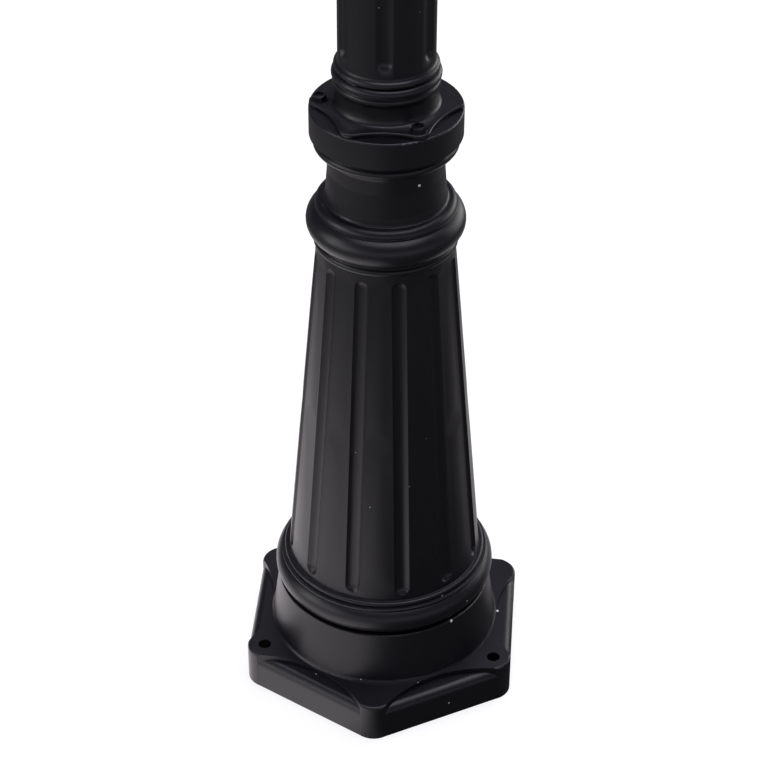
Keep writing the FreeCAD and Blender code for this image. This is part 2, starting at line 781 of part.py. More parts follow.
def armHub():
    hub = newBody("Hub")
    socket = "upperPoleHalf + slipGap + castWall"
    revolve(hub, [
        ("0", "hubLow"),
        (socket + " - 1", "hubLow", "left", "1.4"),
        (socket, "hubLow + 1.4"),
        (socket, "hubLow + 13", "left", "4.0"),
        (socket, "hubLow + 19", "right", "12"),
        ("hubBossHalf + 12", "armHigh - 23", "left", "34"),
        ("hubBossHalf + 12", "armHigh + 23", "right", "14"),
        ("finialStud + 18", "armHigh + 36"),
        ("finialStud + 18", "armHigh + 39", "left", "4.5"),
        ("finialStud + 18", "armHigh + 47"),
        ("finialStud + 16", "armHigh + 48"),
        ("finialStud + 16", "hubTop"),
        ("0", "hubTop"),
    ])
    cavity = newBody("HubCavity")
    revolve(cavity, [
        ("0", "hubLow - 1"),
        ("upperPoleHalf + slipGap", "hubLow - 1"),
        ("upperPoleHalf + slipGap", "upperPoleTop"),
        ("poleBore", "upperPoleTop"),
        ("hubCavity", "armHigh - 16"),
        ("hubCavity", "armHigh + 18"),
        ("finialStud * 2", "armHigh + 30"),
        ("0", "armHigh + 30"),
    ])
    bosses = []
    tools = [cavity, rod("finialStud", "hubTop", "0", "armHigh")]
    for turn in headTurns.values():
        bosses.append(rod("hubBossHalf", "hubBossFar", "0", "armHigh", turn, 90))
        tools.append(rod("armBore + 1", "hubBossFar + 1", "0", "armHigh", turn, 90))
        for side in ("-", "+"):
            high = "armHigh %s armBoltFar" % side
            tools.append(rod("smallScrew", "armBoltLong + 2", "hubBossFar - armBoltLong - 1", high, turn, 90))
    tools += [rod("smallScrew", "20", "upperPoleHalf - 1", "hubLow + 8", turn, 90) for turn in boltTurns]
    keep(cut(fuse([hub] + bosses), tools), "arm_hub")
    screws = []
    for turn in boltTurns:
        screws.append(rod("smallScrew - screwGap", "setScrewLong", "upperPoleHalf - 2", "hubLow + 8",
                          turn, 90))
    keep(group(screws), "hub_screws")


def hubFinial():
    finial = newBody("HubFinial")
    revolve(finial, [
        ("0", "hubTop - 14"),
        ("finialStud - screwGap", "hubTop - 14"),
        ("finialStud - screwGap", "hubTop"),
        ("18", "hubTop"),
        ("18", "hubTop + 3", "left", "3"),
        ("15", "hubTop + 6"),
        ("9", "hubTop + 12"),
        ("9", "hubTop + 15", "left", "4"),
        ("9", "hubTop + 21"),
        ("12", "hubTop + 23", "left", "20"),
        ("10", "hubTop + 61", "right", "22"),
        ("5", "hubTop + 74"),
        ("7.5", "hubTop + 76", "left", "3.5"),
        ("6", "hubTop + 81"),
        ("5", "hubTop + 84", "right", "90"),
        ("1.5", "hubTop + 114", "left", "1.5"),
        ("0", "hubTop + 115.5"),
    ])
    keep(finial, "hub_finial")


# The three heads: marks of the arm's centre line, seen from the side

dip = {
    "x1": "hubBossFar + armStraight",
    "z1": "armHigh",
    "x2": "hubBossFar + armStraight + armDipRound * sin(armDip)",
    "z2": "armHigh - armDipRound * (1 - cos(armDip))",
}
riseX = dip["x2"] + " + armRiseRound * sin(armDip)"
riseZ = dip["z2"] + " + armRiseRound * cos(armDip)"
reach = "(%s + armRiseRound)" % riseX
seatHigh = "(%s + armSeatThick)" % riseZ


def armRoute(startX, endZ):
    return [
        (startX, "armHigh"),
        (dip["x1"], dip["z1"], "right", "armDipRound"),
        (dip["x2"], dip["z2"], "left", "armRiseRound"),
        (reach, riseZ),
        (reach, endZ),
    ]


def curlRoute():
    """Marks of the curl below the arm: it leaves the arm backwards and winds in."""
    face = {"a": "(180 - curlStart)", "b": "(360 - curlStart)", "c": "(360 - curlStart + curlTurn)"}
    marks = {
        "x0": "%s - armRiseRound * sin(curlStart)" % riseX,
        "z0": "%s - armRiseRound * cos(curlStart)" % riseZ,
    }
    midX = "%s - curlRound * sin(%s)" % (marks["x0"], face["a"])
    midZ = "%s + curlRound * cos(%s)" % (marks["z0"], face["a"])
    half = "(270 - curlStart)"
    inX = "%s + (curlRound - curlInner) * sin(%s)" % (midX, face["b"])
    inZ = "%s - (curlRound - curlInner) * cos(%s)" % (midZ, face["b"])
    bend = "(360 - curlStart + curlTurn / 2)"
    return [
        (marks["x0"], marks["z0"], "left", "curlRound"),
        ("%s + curlRound * sin(%s)" % (midX, half), "%s - curlRound * cos(%s)" % (midZ, half),
         "left", "curlRound"),
        ("%s + curlRound * sin(%s)" % (midX, face["b"]), "%s - curlRound * cos(%s)" % (midZ, face["b"]),
         "left", "curlInner"),
        ("%s + curlInner * sin(%s)" % (inX, bend), "%s - curlInner * cos(%s)" % (inZ, bend),
         "left", "curlInner"),
        ("%s + curlInner * sin(%s)" % (inX, face["c"]), "%s - curlInner * cos(%s)" % (inZ, face["c"])),
    ]


def arm(side, turn):
    body = newBody(side + "ArmBar")
    sweep(body, armRoute("hubBossFar", riseZ + " + 0.5"), "armTube", ("hubBossFar", "0", "armHigh"))
    extrude(body, [("circle", "0", "armHigh", "hubBossHalf")], "armFlangeThick", "hubBossFar", "YZ_Plane")
    extrude(body, [("circle", reach, "0", "armSeatHalf")], "armSeatThick", riseZ)
    extrude(body, [("circle", reach, "0", "armTube + 4")], "5", riseZ + " - 5")
    extrude(body, [("circle", reach, "0", "nippleHalf + screwGap")], "armSeatThick + 2", riseZ + " - 1",
            cut=True)
    holes = [("circle", "0", "armHigh %s armBoltFar" % sign, "smallScrew + holeGap") for sign in ("-", "+")]
    extrude(body, holes, "armFlangeThick + 2", "hubBossFar - 1", "YZ_Plane", cut=True)
    place(body, turn=turn)

    curl = newBody(side + "Curl")
    marks = curlRoute()
    route = newSketch(curl, "XZ_Plane")
    draw(route, marks, closed=False)
    section = newSketch(curl, "YZ_Plane", marks[0][0])
    drawCircle(section, "0", marks[0][1], "curlTube")
    pipe = curl.newObject("PartDesign::AdditivePipe", side + "CurlBar")
    pipe.Profile = section
    pipe.Spine = (route, ["Edge%d" % (step + 1) for step in range(len(marks) - 1)])
    curl.Tip = pipe
    place(curl, turn=turn)

    ball = doc.addObject("Part::Sphere", side + "CurlBall")
    bind(ball, "Radius", "curlBall")
    place(ball, marks[-1][0], marks[-1][1], turn)

    bore = newBody(side + "ArmBore")
    sweep(bore, armRoute("hubBossFar", riseZ + " + 0.5"), "armBore", ("hubBossFar", "0", "armHigh"))
    place(bore, turn=turn)
    keep(cut(fuse([body, curl, ball]), [bore]), side + "_arm")


def lead(side, turn):
    body = newBody(side + "LeadRun")
    start = "terminalLow + terminalTall"
    marks = [
        ("leadOff", start),
        ("leadOff", "armHigh - leadBend", "right", "leadBend"),
        ("leadOff + leadBend", "armHigh"),
    ] + armRoute("hubBossFar", seatHigh + " + holderFloor - 2")[1:]
    sweep(body, marks, "leadHalf", (start, "leadOff", "0"), role="XY_Plane")
    place(body, turn=turn)
    keep(body, side + "_lead")


def armBolts():
    bolts = []
    seat = "hubBossFar + armFlangeThick"
    for turn in headTurns.values():
        for sign in ("-", "+"):
            high = "armHigh %s armBoltFar" % sign
            shank = rod("smallScrew - screwGap", "armBoltLong + armFlangeThick", "hubBossFar - armBoltLong",
                        high, turn, 90)
            bolts.append(fuse([hexHead(seat, high, turn, 90), shank]))
    keep(group(bolts), "arm_bolts")


# The lantern: every body is built about its own axis and then set on the arm's seat

def onSeat(body, turn, label):
    place(body, reach, seatHigh, turn)
    return keep(body, label)


def nipple(side, turn):
    body = newBody(side + "Nipple")
    low = "0 - nippleOver / 2 - armSeatThick / 2"
    revolve(body, [
        ("nippleBore", low), ("nippleHalf", low),
        ("nippleHalf", "cupFloor + nippleOver / 2"), ("nippleBore", "cupFloor + nippleOver / 2"),
    ])
    onSeat(body, turn, side + "_nipple")


def cup(side, turn):
    body = newBody(side + "Cup")
    revolve(body, [
        ("0", "0"),
        ("armSeatHalf", "0"),
        ("armSeatHalf", "2.5", "left", "1.5"),
        ("armSeatHalf - 1.5", "4", "right", "10"),
        ("cupNeck", "9"),
        ("cupNeck", "10", "left", "2.2"),
        ("cupNeck", "13.6"),
        ("cupNeck + 1", "14.4", "left", "38"),
        ("cupRim", "cageLow - cupPlateThick"),
        ("cupRim", "cageLow"),
        ("0", "cageLow"),
    ])
    extrude(body, [hexagon("cupPlate", "3")], "cupPlateThick", "cageLow - cupPlateThick")
    soften(body, "1.6", flatAt("cageLow"))
    revolve(body, [
        ("0", "cupFloor"),
        ("cupNeck + 7", "cupFloor"),
        ("cupNeck + 9", "cupFloor + 1", "left", "38"),
        ("cageFoot * cos(30) - 8", "cageLow - cupPlateThick"),
        ("cageFoot * cos(30) - 8", "cageLow + 1"),
        ("0", "cageLow + 1"),
    ], cut=True)
    extrude(body, [("circle", "0", "0", "nippleHalf + screwGap")], "cupFloor + 2", "-1", cut=True)
    onSeat(body, turn, side + "_cup")


def cageAt(high):
    """Corner distance of the cage's outside at a height."""
    return "(cageFoot + (cageHead - cageFoot) * (%s - cageLow) / (cageTop - cageLow))" % high


def cage(side, turn):
    body = newBody(side + "Cage")
    loft(body, [("cageFoot", "cageLow"), ("cageHead", "cageTop")])
    loft(body, [("cageFoot - cageWall", "cageLow"), ("cageHead - cageWall", "cageTop")], cut=True)
    sill, lintel = "cageLow + cageLowRail", "cageTop - cageTopRail"
    halfSill = "(%s / 2 - cagePost)" % cageAt(sill)
    halfLintel = "(%s / 2 - cagePost)" % cageAt(lintel)
    window = extrude(body, [[
        ("0 - " + halfSill, sill),
        (halfSill, sill),
        (halfLintel, lintel + " - 8", "left", "windowArch"),
        ("0 - " + halfLintel, lintel + " - 8"),
    ]], "cageHead + 10", role="YZ_Plane", cut=True)
    polar(body, window, "6")
    axis = "(eaveCorner * cos(30) + hingeOff)"
    rail = "(%s * cos(30) - 2)" % cageAt("cageTop - latchLug")
    ears = []
    for sign in ("-", "+"):
        start = "%s1 * (hingeTab / 2 + seatGap)" % sign
        end = "%s1 * (hingeTab / 2 + seatGap + hingeEar)" % sign
        ears.append((start, end) if sign == "+" else (end, start))
    for start, end in ears:
        lift = "0 - (%s)" % end
        wide = "(%s) - (%s)" % (end, start)
        extrude(body, [[
            (rail, "cageTop - latchLug"),
            (axis, "cageTop + 0.15 - hingeRing", "left", "hingeRing"),
            (axis + " + hingeRing", "cageTop + 0.15", "left", "hingeRing"),
            (axis, "cageTop + 0.15 + hingeRing", "left", "hingeRing"),
            (axis + " - hingeRing", "cageTop + 0.15"),
            (axis + " - hingeRing", "cageTop"),
            (rail, "cageTop"),
        ]], wide, lift, "XZ_Plane")
    latch = "0 - (eaveCorner * cos(30) + latchEnd)"
    extrude(body, [[
        (latch, "-latchWide / 2"),
        ("0 - " + rail, "-latchWide / 2"),
        ("0 - " + rail, "latchWide / 2"),
        (latch, "latchWide / 2"),
    ]], "latchLug", "cageTop - latchLug")
    extrude(body, [("circle", axis, "cageTop + 0.15", "hingePin + 0.02")], "hingeTab * 3", role="XZ_Plane",
            cut=True, both=True)
    latchAxis = "0 - (eaveCorner * cos(30) + latchOff)"
    extrude(body, [("circle", latchAxis, "0", "latchHole")], "latchLug + 2", "cageTop - latchLug - 1",
            cut=True)
    onSeat(body, turn, side + "_cage")


def panes(side, turn):
    body = newBody(side + "Panes")
    body.AllowCompound = True
    low, high = "cageLow + seatGap", "cageTop - seatGap * 5"
    outer = "cageWall + paneGap"
    inner = outer + " + paneThick"
    loft(body, [("%s - %s" % (cageAt(spot), outer.replace(" + ", " - ")), spot) for spot in (low, high)])
    loft(body, [("%s - %s" % (cageAt(spot), inner.replace(" + ", " - ")), spot) for spot in (low, high)],
         cut=True)
    slots = []
    for angle in (30, 90, 150):
        long = "cageHead + 20"
        corners = ((-1, -1), (1, -1), (1, 1), (-1, 1))
        marks = []
        for along, across in corners:
            x = "%d * (%s) * cos(%d) - %d * paneSlot / 2 * sin(%d)" % (along, long, angle, across, angle)
            y = "%d * (%s) * sin(%d) + %d * paneSlot / 2 * cos(%d)" % (along, long, angle, across, angle)
            marks.append((x, y))
        slots.append(marks)
    for marks in slots:
        extrude(body, [marks], "cageTop", "0", cut=True)
    onSeat(body, turn, side + "_panes")


def roof(side, turn):
    body = newBody(side + "Roof")
    low = "cageTop + seatGap"
    slope = low + " + eaveThick"
    extrude(body, [hexagon("eaveCorner", "3")], "eaveThick", low)
    soften(body, "eaveRound", flatAt(slope))
    outer = [
        ("eaveCorner - 7", slope + " - 1"),
        ("eaveCorner * 0.66", slope + " + 21"),
        ("eaveCorner * 0.44", slope + " + 47"),
        ("chimneyHalf + 8", "chimneyLow + 3"),
    ]
    loft(body, outer)
    extrude(body, [("circle", "0", "0", "chimneyHalf")], "chimneyTop - chimneyLow + 1", "chimneyLow - 1")
    extrude(body, [hexagon("cageHead - cageWall")], "eaveThick + 1", low + " - 1", cut=True)
    inner = [
        ("cageHead - cageWall", slope + " - 1.01"),
        ("eaveCorner * 0.66 - roofWall", slope + " + 18"),
        ("eaveCorner * 0.44 - roofWall", slope + " + 43"),
        ("chimneyHalf - 1", "chimneyLow"),
    ]
    loft(body, inner, cut=True)
    extrude(body, [("circle", "0", "0", "chimneyHalf - chimneyWall")], "chimneyTop - chimneyLow - 2",
            "chimneyLow - 1", cut=True)
    vent = extrude(body, [("circle", "0", "(chimneyLow + chimneyTop) / 2 + 1", "ventHole")],
                   "chimneyHalf + 12", role="YZ_Plane", cut=True)
    polar(body, vent, "6")
    axis = "(eaveCorner * cos(30) + hingeOff)"
    edge = "(eaveCorner * cos(30) - 2)"
    extrude(body, [[
        (edge, low),
        (axis + " - sqrt(hingeRing ^ 2 - 0.15 ^ 2)", low, "left", "hingeRing"),
        (axis, "cageTop + 0.15 - hingeRing", "left", "hingeRing"),
        (axis + " + hingeRing", "cageTop + 0.15", "left", "hingeRing"),
        (axis, "cageTop + 0.15 + hingeRing"),
        (edge, "cageTop + 0.15 + hingeRing"),
    ]], "hingeTab", role="XZ_Plane", both=True)
    tip = "0 - (eaveCorner * cos(30) + latchEnd)"
    extrude(body, [[
        (tip, "-latchWide / 2"),
        ("0 - " + edge, "-latchWide / 2"),
        ("0 - " + edge, "latchWide / 2"),
        (tip, "latchWide / 2"),
    ]], "tabThick", low)
    extrude(body, [("circle", axis, "cageTop + 0.15", "hingePin + screwGap")], "hingeTab + 2",
            role="XZ_Plane", cut=True, both=True)
    latchAxis = "0 - (eaveCorner * cos(30) + latchOff)"
    extrude(body, [("circle", latchAxis, "0", "latchPin + screwGap")], "tabThick + 2", low + " - 1", cut=True)
    extrude(body, [("circle", "0", "0", "topStud")], "12", "chimneyTop - 8", cut=True)
    onSeat(body, turn, side + "_roof")


def roofTop(side, turn):
    hood = newBody(side + "Hood")
    revolve(hood, [
        ("topStud + screwGap", "chimneyTop"),
        ("chimneyHalf + 2", "chimneyTop"),
        ("chimneyHalf + 4", "chimneyTop + 2"),
        ("hoodHalf - 2", "chimneyTop + 1"),
        ("hoodHalf", "chimneyTop + 2.5", "left", "34"),
        ("11", "hoodTop - 3", "left", "3"),
        ("9", "hoodTop"),
        ("topStud + screwGap", "hoodTop"),
    ])
    onSeat(hood, turn, side + "_vent_cap")
    finial = newBody(side + "Finial")
    ball = "hoodTop + 6 + topBall"
    revolve(finial, [
        ("0", "chimneyTop - 6"),
        ("topStud - screwGap", "chimneyTop - 6"),
        ("topStud - screwGap", "hoodTop"),
        ("8", "hoodTop"),
        ("8", "hoodTop + 2", "left", "2.4"),
        ("5", "hoodTop + 5"),
        ("topBall * cos(50)", ball + " - topBall * sin(50)", "left", "topBall"),
        ("topBall * cos(50)", ball + " + topBall * sin(50)"),
        ("4", ball + " + topBall", "right", "14"),
        ("2.2", ball + " + topBall + 12"),
        ("1", ball + " + topBall + 24", "left", "1"),
        ("0", ball + " + topBall + 25"),
    ])
    onSeat(finial, turn, side + "_finial")


def roofFixings(side, turn):
    pin = newBody(side + "Pin")
    axis = "(eaveCorner * cos(30) + hingeOff)"
    extrude(pin, [("circle", axis, "cageTop + 0.15", "hingePin")], "hingeTab + 2 * hingeEar + 3",
            role="XZ_Plane", both=True)
    onSeat(pin, turn, side + "_hinge_pin")
    screw = newBody(side + "Thumb")
    latchAxis = "0 - (eaveCorner * cos(30) + latchOff)"
    seat = "cageTop + seatGap + tabThick"
    extrude(screw, [("circle", latchAxis, "0", "latchPin")], "tabThick + latchLug + 1",
            "cageTop - latchLug + seatGap")
    knurl = []
    for step in range(24):
        far = "latchHead" if step % 2 else "(latchHead - 0.9)"
        knurl.append(("%s + %s * cos(%d)" % (latchAxis, far, step * 15), "%s * sin(%d)" % (far, step * 15)))
    extrude(screw, [knurl], "latchHeadTall", seat + " + 0.1")
    onSeat(screw, turn, side + "_thumb_screw")


def bulb(side, turn):
    holder = newBody(side + "Holder")
    bore = "bulbCapHalf + screwGap"
    revolve(holder, [
        ("nippleHalf + screwGap", "cupFloor"),
        ("holderHalf", "cupFloor"),
        ("holderHalf", "cupFloor + 12", "left", "4"),
        ("holderHalf - 2.5", "cupFloor + 15"),
        ("holderHalf - 2.5", "holderTop - 4"),
        ("holderHalf - 1.5", "holderTop - 3"),
        ("holderHalf - 1.5", "holderTop - 1", "left", "1"),
        ("holderHalf - 2.5", "holderTop"),
        (bore, "holderTop"),
        (bore, "holderFloor"),
        ("nippleHalf + screwGap", "holderFloor"),
    ])
    onSeat(holder, turn, side + "_lampholder")
    cap = newBody(side + "BulbCap")
    low = "holderFloor + seatGap"
    marks = [("0", low), ("4.5", low), ("4.5", low + " + 1"), ("10.5", low + " + 4")]
    threads = 5
    pitch = "(bulbCapTop - holderFloor - seatGap - 8) / %d" % threads
    for step in range(threads):
        marks.append(("bulbCapHalf - 0.7", "%s + 5 + %s * %d" % (low, pitch, step), "left", "2.6"))
    marks.append(("bulbCapHalf - 0.7", "%s + 5 + %s * %d" % (low, pitch, threads)))
    marks += [("bulbCapHalf - 0.7", "bulbCapTop"), ("0", "bulbCapTop")]
    revolve(cap, marks)
    onSeat(cap, turn, side + "_bulb_cap")
    glass = newBody(side + "BulbGlass")
    marks = []
    for inset in ("0", "bulbWall"):
        ball = "(bulbBall - %s)" % inset
        marks.append([
            ("bulbCapHalf - 0.4 - " + inset, "bulbCapTop"),
            ("bulbCapHalf + 0.4 - " + inset, "bulbCapTop + 8", "right", "42"),
            (ball + " * cos(35)", "bulbBallHigh - %s * sin(35)" % ball, "left", ball),
            ("0", "bulbBallHigh + " + ball),
        ])
    outer, inner = marks
    back = [
        ("0", inner[3][1], "right", inner[2][3]),
        (inner[2][0], inner[2][1], "left", "42"),
        (inner[1][0], inner[1][1]),
        (inner[0][0], inner[0][1]),
    ]
    revolve(glass, outer + back)
    onSeat(glass, turn, side + "_bulb_glass")


footCasting()
shaftScrews()
flutedShaft()
terminals()
lowerPole()
flangeBolts()
setScrewHigh = poleJoint()
upperPole(setScrewHigh)
armHub()
hubFinial()
armBolts()
for headSide, headTurn in headTurns.items():
    for make in (arm, lead, nipple, cup, cage, panes, roof, roofTop, roofFixings, bulb):
        make(headSide, headTurn)

doc.recompute()

# Nothing is written unless every object was built

faults = []
for item in doc.Objects:
    if "Invalid" in item.State or "Error" in item.State:
        faults.append("%s: %s" % (item.Label, item.getStatusString()))
for item in pieces:
    if item.Shape.isNull() or not item.Shape.isValid() or not item.Shape.Solids:
        faults.append("%s has no valid shape" % item.Label)
if faults:
    raise RuntimeError("; ".join(faults))

os.makedirs("parts", exist_ok=True)
for item in pieces:
    item.Shape.exportStep("parts/%s.step" % item.Label)
    box = item.Shape.BoundBox
    print("%-20s %2d solids %10.0f mm3  z %7.1f to %7.1f" % (
        item.Label, len(item.Shape.Solids), item.Shape.Volume, box.ZMin, box.ZMax))
print(len(pieces), "pieces")
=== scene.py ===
import json
import math

import bmesh
import bpy
from mathutils import Matrix, Vector


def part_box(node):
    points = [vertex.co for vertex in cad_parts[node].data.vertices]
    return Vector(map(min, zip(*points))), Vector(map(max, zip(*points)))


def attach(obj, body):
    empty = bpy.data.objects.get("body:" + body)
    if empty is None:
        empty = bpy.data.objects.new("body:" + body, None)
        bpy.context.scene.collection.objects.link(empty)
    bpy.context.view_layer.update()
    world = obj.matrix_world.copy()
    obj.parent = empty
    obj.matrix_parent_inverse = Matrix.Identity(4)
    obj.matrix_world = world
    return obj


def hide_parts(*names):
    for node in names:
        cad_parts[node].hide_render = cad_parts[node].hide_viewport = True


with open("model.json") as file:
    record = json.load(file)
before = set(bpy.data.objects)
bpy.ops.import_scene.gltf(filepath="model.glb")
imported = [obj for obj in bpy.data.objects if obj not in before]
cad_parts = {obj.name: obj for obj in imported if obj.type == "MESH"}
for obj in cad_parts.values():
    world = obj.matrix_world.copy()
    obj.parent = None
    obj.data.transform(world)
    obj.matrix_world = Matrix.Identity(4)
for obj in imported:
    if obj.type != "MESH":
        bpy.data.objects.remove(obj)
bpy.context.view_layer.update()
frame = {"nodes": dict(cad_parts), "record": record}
cadNodes = frame["nodes"]
mm = 0.001
weld = 0.001 * mm  # vertices closer than this are one
onAxis = 0.01 * mm  # a face whose middle is closer to the axis than this lies on it
level = 0.9  # a face whose normal rises more than this lies level

# Angles about the post, in degrees: where the heads stand, and the bolts of the flange, collar and hub
headTurns = {"left": 210, "right": 330, "rear": 90}
boltTurns = (62.5, 182.5, 302.5)

armHigh = 1740.0  # middle of the arms' flanges over the ground, in millimetres

# The lantern, in millimetres over its seat on the arm and out from its axis
lantern = {
    "cageLow": 40,
    "cageTop": 235,
    "cageFoot": 66,  # axis to the cage's corners, at its foot and its head
    "cageHead": 108,
    "roofSlope": ((111, 240.3), (77.9, 262.3), (51.9, 288.3), (30, 315)),  # corner distance and height
    "hoodRim": 36,
    "latchFar": 109.7,
    "latchSeat": 239.4,
}


# Helpers

def toLinear(hexCode, alpha=1.0):
    channels = [int(hexCode[start:start + 2], 16) / 255 for start in (1, 3, 5)]
    return [c / 12.92 if c <= 0.04045 else ((c + 0.055) / 1.055) ** 2.4 for c in channels] + [alpha]


def addNode(tree, kind, inputs=None, **settings):
    node = tree.nodes.new(kind)
    for name, setting in settings.items():
        setattr(node, name, setting)
    for socket, source in (inputs or {}).items():
        if isinstance(source, bpy.types.NodeSocket):
            tree.links.new(source, node.inputs[socket])
        else:
            node.inputs[socket].default_value = source
    return node


def mathNode(tree, operation, first, second):
    return addNode(tree, "ShaderNodeMath", {0: first, 1: second}, operation=operation).outputs[0]


def grade(tree, source, spread, ends, smooth=False):
    # Takes the spread of a value to two ends, which are numbers or other values
    inputs = {"Value": source, "From Min": spread[0], "From Max": spread[1],
              "To Min": ends[0], "To Max": ends[1]}
    kind = "SMOOTHSTEP" if smooth else "LINEAR"
    return addNode(tree, "ShaderNodeMapRange", inputs, interpolation_type=kind).outputs["Result"]


def newMaterial(name, colour, roughness, **sockets):
    material = bpy.data.materials.new(name)
    material.use_nodes = True
    tree = material.node_tree
    shader = tree.nodes["Principled BSDF"]
    shader.inputs["Base Color"].default_value = toLinear(colour)
    shader.inputs["Roughness"].default_value = roughness
    for socket, setting in sockets.items():
        shader.inputs[socket].default_value = setting
    return material, tree, shader


def objectPlace(tree, size):
    # Object coordinates in units of a real size in millimetres
    place = addNode(tree, "ShaderNodeTexCoord").outputs["Object"]
    scale = [1 / (size * mm)] * 3
    return addNode(tree, "ShaderNodeMapping", {"Vector": place, "Scale": scale}).outputs["Vector"]


def noiseOf(tree, size, detail=3.0):
    inputs = {"Vector": objectPlace(tree, size), "Scale": 1.0, "Detail": detail}
    return addNode(tree, "ShaderNodeTexNoise", inputs).outputs["Fac"]


def addGrain(tree, shader, size, height, detail=2.0):
    # Fine unevenness of a surface: waves of a size and a height in millimetres
    bump = addNode(tree, "ShaderNodeBump", {"Height": noiseOf(tree, size, detail), "Distance": height * mm})
    tree.links.new(bump.outputs["Normal"], shader.inputs["Normal"])


def spreadRoughness(tree, shader, low, high, size):
    # Most of the noise lies between 0.3 and 0.7
    tree.links.new(grade(tree, noiseOf(tree, size), (0.3, 0.7), (low, high)), shader.inputs["Roughness"])


def mixColours(tree, shader, share, first, second):
    mix = addNode(tree, "ShaderNodeMix", {"Factor": share}, data_type="RGBA")
    mix.inputs["A"].default_value = toLinear(first)
    mix.inputs["B"].default_value = toLinear(second)
    tree.links.new(mix.outputs["Result"], shader.inputs["Base Color"])


def spreadColour(tree, shader, dark, light, size):
    mixColours(tree, shader, noiseOf(tree, size), dark, light)


# Materials

# Die-cast aluminium under satin black polyester powder coat: near-black, a soft sheen, a fine dry texture
powderCoatLook = {
    "colour": "#0b0a10",
    "roughness": (0.35, 0.41),
    "plainRoughness": 0.46,  # where a viewer leaves the spread out
    "reflection": 0.35,
    "grainSize": 1.1,
    "grainHeight": 0.02,
    "patchSize": 60,
    "dust": "#dcdad4",  # stray white specks that settled on the coat
    "dustSpacing": 22,
    "dustRadius": 0.26,
    "dustSpots": (  # place and radius of the larger ones, on the foot, shaft and neck
        (51.2, -54.2, 67.6, 1.1),
        (82.1, 5.9, 25, 1.0),
        (22.9, -29.6, 405.7, 0.9),
        (51.9, -77.9, 11.6, 0.5),
        (44.5, -54.2, 90.2, 0.4),
        (-42.4, -70.4, 25, 0.4),
        (61.4, -45.8, 79.4, 0.4),
        (29.9, -77.3, 29, 0.4),
        (-9.9, -79.2, 30.6, 0.4),
    ),
}


def powderCoat():
    look = powderCoatLook
    material, tree, shader = newMaterial("satinBlackPowderCoat", look["colour"], look["plainRoughness"])
    shader.inputs["Specular IOR Level"].default_value = look["reflection"]
    addGrain(tree, shader, look["grainSize"], look["grainHeight"])
    spreadRoughness(tree, shader, *look["roughness"], look["patchSize"])
    spacing = look["dustSpacing"]
    cells = addNode(tree, "ShaderNodeTexVoronoi", {"Vector": objectPlace(tree, spacing), "Scale": 1.0})
    specks = mathNode(tree, "LESS_THAN", cells.outputs["Distance"], look["dustRadius"] / spacing)
    place = addNode(tree, "ShaderNodeTexCoord").outputs["Object"]
    for *spot, radius in look["dustSpots"]:
        far = addNode(tree, "ShaderNodeVectorMath", {0: place, 1: Vector(spot) * mm}, operation="DISTANCE")
        near = mathNode(tree, "LESS_THAN", far.outputs["Value"], radius * mm)
        specks = mathNode(tree, "MAXIMUM", specks, near)
    mixColours(tree, shader, specks, look["colour"], look["dust"])
    return material


# Black-oxidised steel: darker and a little oily, so its edges catch more light than the coat's
def blackSteel():
    material, tree, shader = newMaterial("blackOxideSteel", "#1a1a1d", 0.34, Metallic=0.6)
    addGrain(tree, shader, 0.8, 0.01)
    return material


# Zinc-plated steel: pale bluish grey, passivated, faintly cloudy
def zincSteel():
    material, tree, shader = newMaterial("zincPlatedSteel", "#b9bfc6", 0.34, Metallic=1.0)
    spreadColour(tree, shader, "#a7aeb6", "#c8ccd1", 6)
    addGrain(tree, shader, 0.7, 0.006)
    return material


# Machined brass: warm yellow, turned and lightly tarnished
def machinedBrass():
    material, tree, shader = newMaterial("machinedBrass", "#c9a557", 0.27, Metallic=1.0)
    spreadColour(tree, shader, "#b58d42", "#d4b36a", 5)
    addGrain(tree, shader, 0.5, 0.005)
    return material


# Drawn aluminium tube: bare, with faint lines along it
def drawnAluminium():
    material, tree, shader = newMaterial("drawnAluminium", "#c6c8cb", 0.38, Metallic=1.0)
    addGrain(tree, shader, 0.9, 0.008)
    return material


# Nickel-plated brass of a bulb's screw cap: bright and slightly warm
def nickelPlate():
    material, tree, shader = newMaterial("nickelPlatedCap", "#d3cfc6", 0.22, Metallic=1.0)
    addGrain(tree, shader, 1.2, 0.004)
    return material


# Rolled soda-lime glass with slow waves in it
def waterWhiteGlass():
    material, tree, shader = newMaterial("rolledLanternGlass", "#f6fafa", 0.03,
                                         **{"Transmission Weight": 1.0, "IOR": 1.5})
    addGrain(tree, shader, 22, 0.25, detail=0.0)
    return material


# Blown glass of the bulb, thin and clear, with the faintest smoke
def blownGlass():
    material, tree, shader = newMaterial("blownBulbGlass", "#f7f3ea", 0.02,
                                         **{"Transmission Weight": 1.0, "IOR": 1.5})
    addGrain(tree, shader, 14, 0.05, detail=0.0)
    return material


# Glazed porcelain: warm white body under a thin clear glaze
def glazedPorcelain():
    material, tree, shader = newMaterial("glazedPorcelain", "#dedad0", 0.3,
                                         **{"Coat Weight": 0.8, "Coat Roughness": 0.08})
    spreadColour(tree, shader, "#d8d3c8", "#e4e1d8", 9)
    addGrain(tree, shader, 5, 0.02)
    return material


# Moulded polyamide of a terminal block: ivory and faintly mottled
def mouldedPolyamide():
    material, tree, shader = newMaterial("mouldedPolyamide", "#cfc9b8", 0.55)
    spreadColour(tree, shader, "#c8c2b0", "#d6d1c2", 12)
    addGrain(tree, shader, 0.6, 0.01)
    return material


# Extruded PVC sheath of a lead: black, soft, with slight drawn ripples
def pvcSheath():
    material, tree, shader = newMaterial("pvcSheath", "#1b1b1d", 0.5)
    addGrain(tree, shader, 2.5, 0.02)
    return material


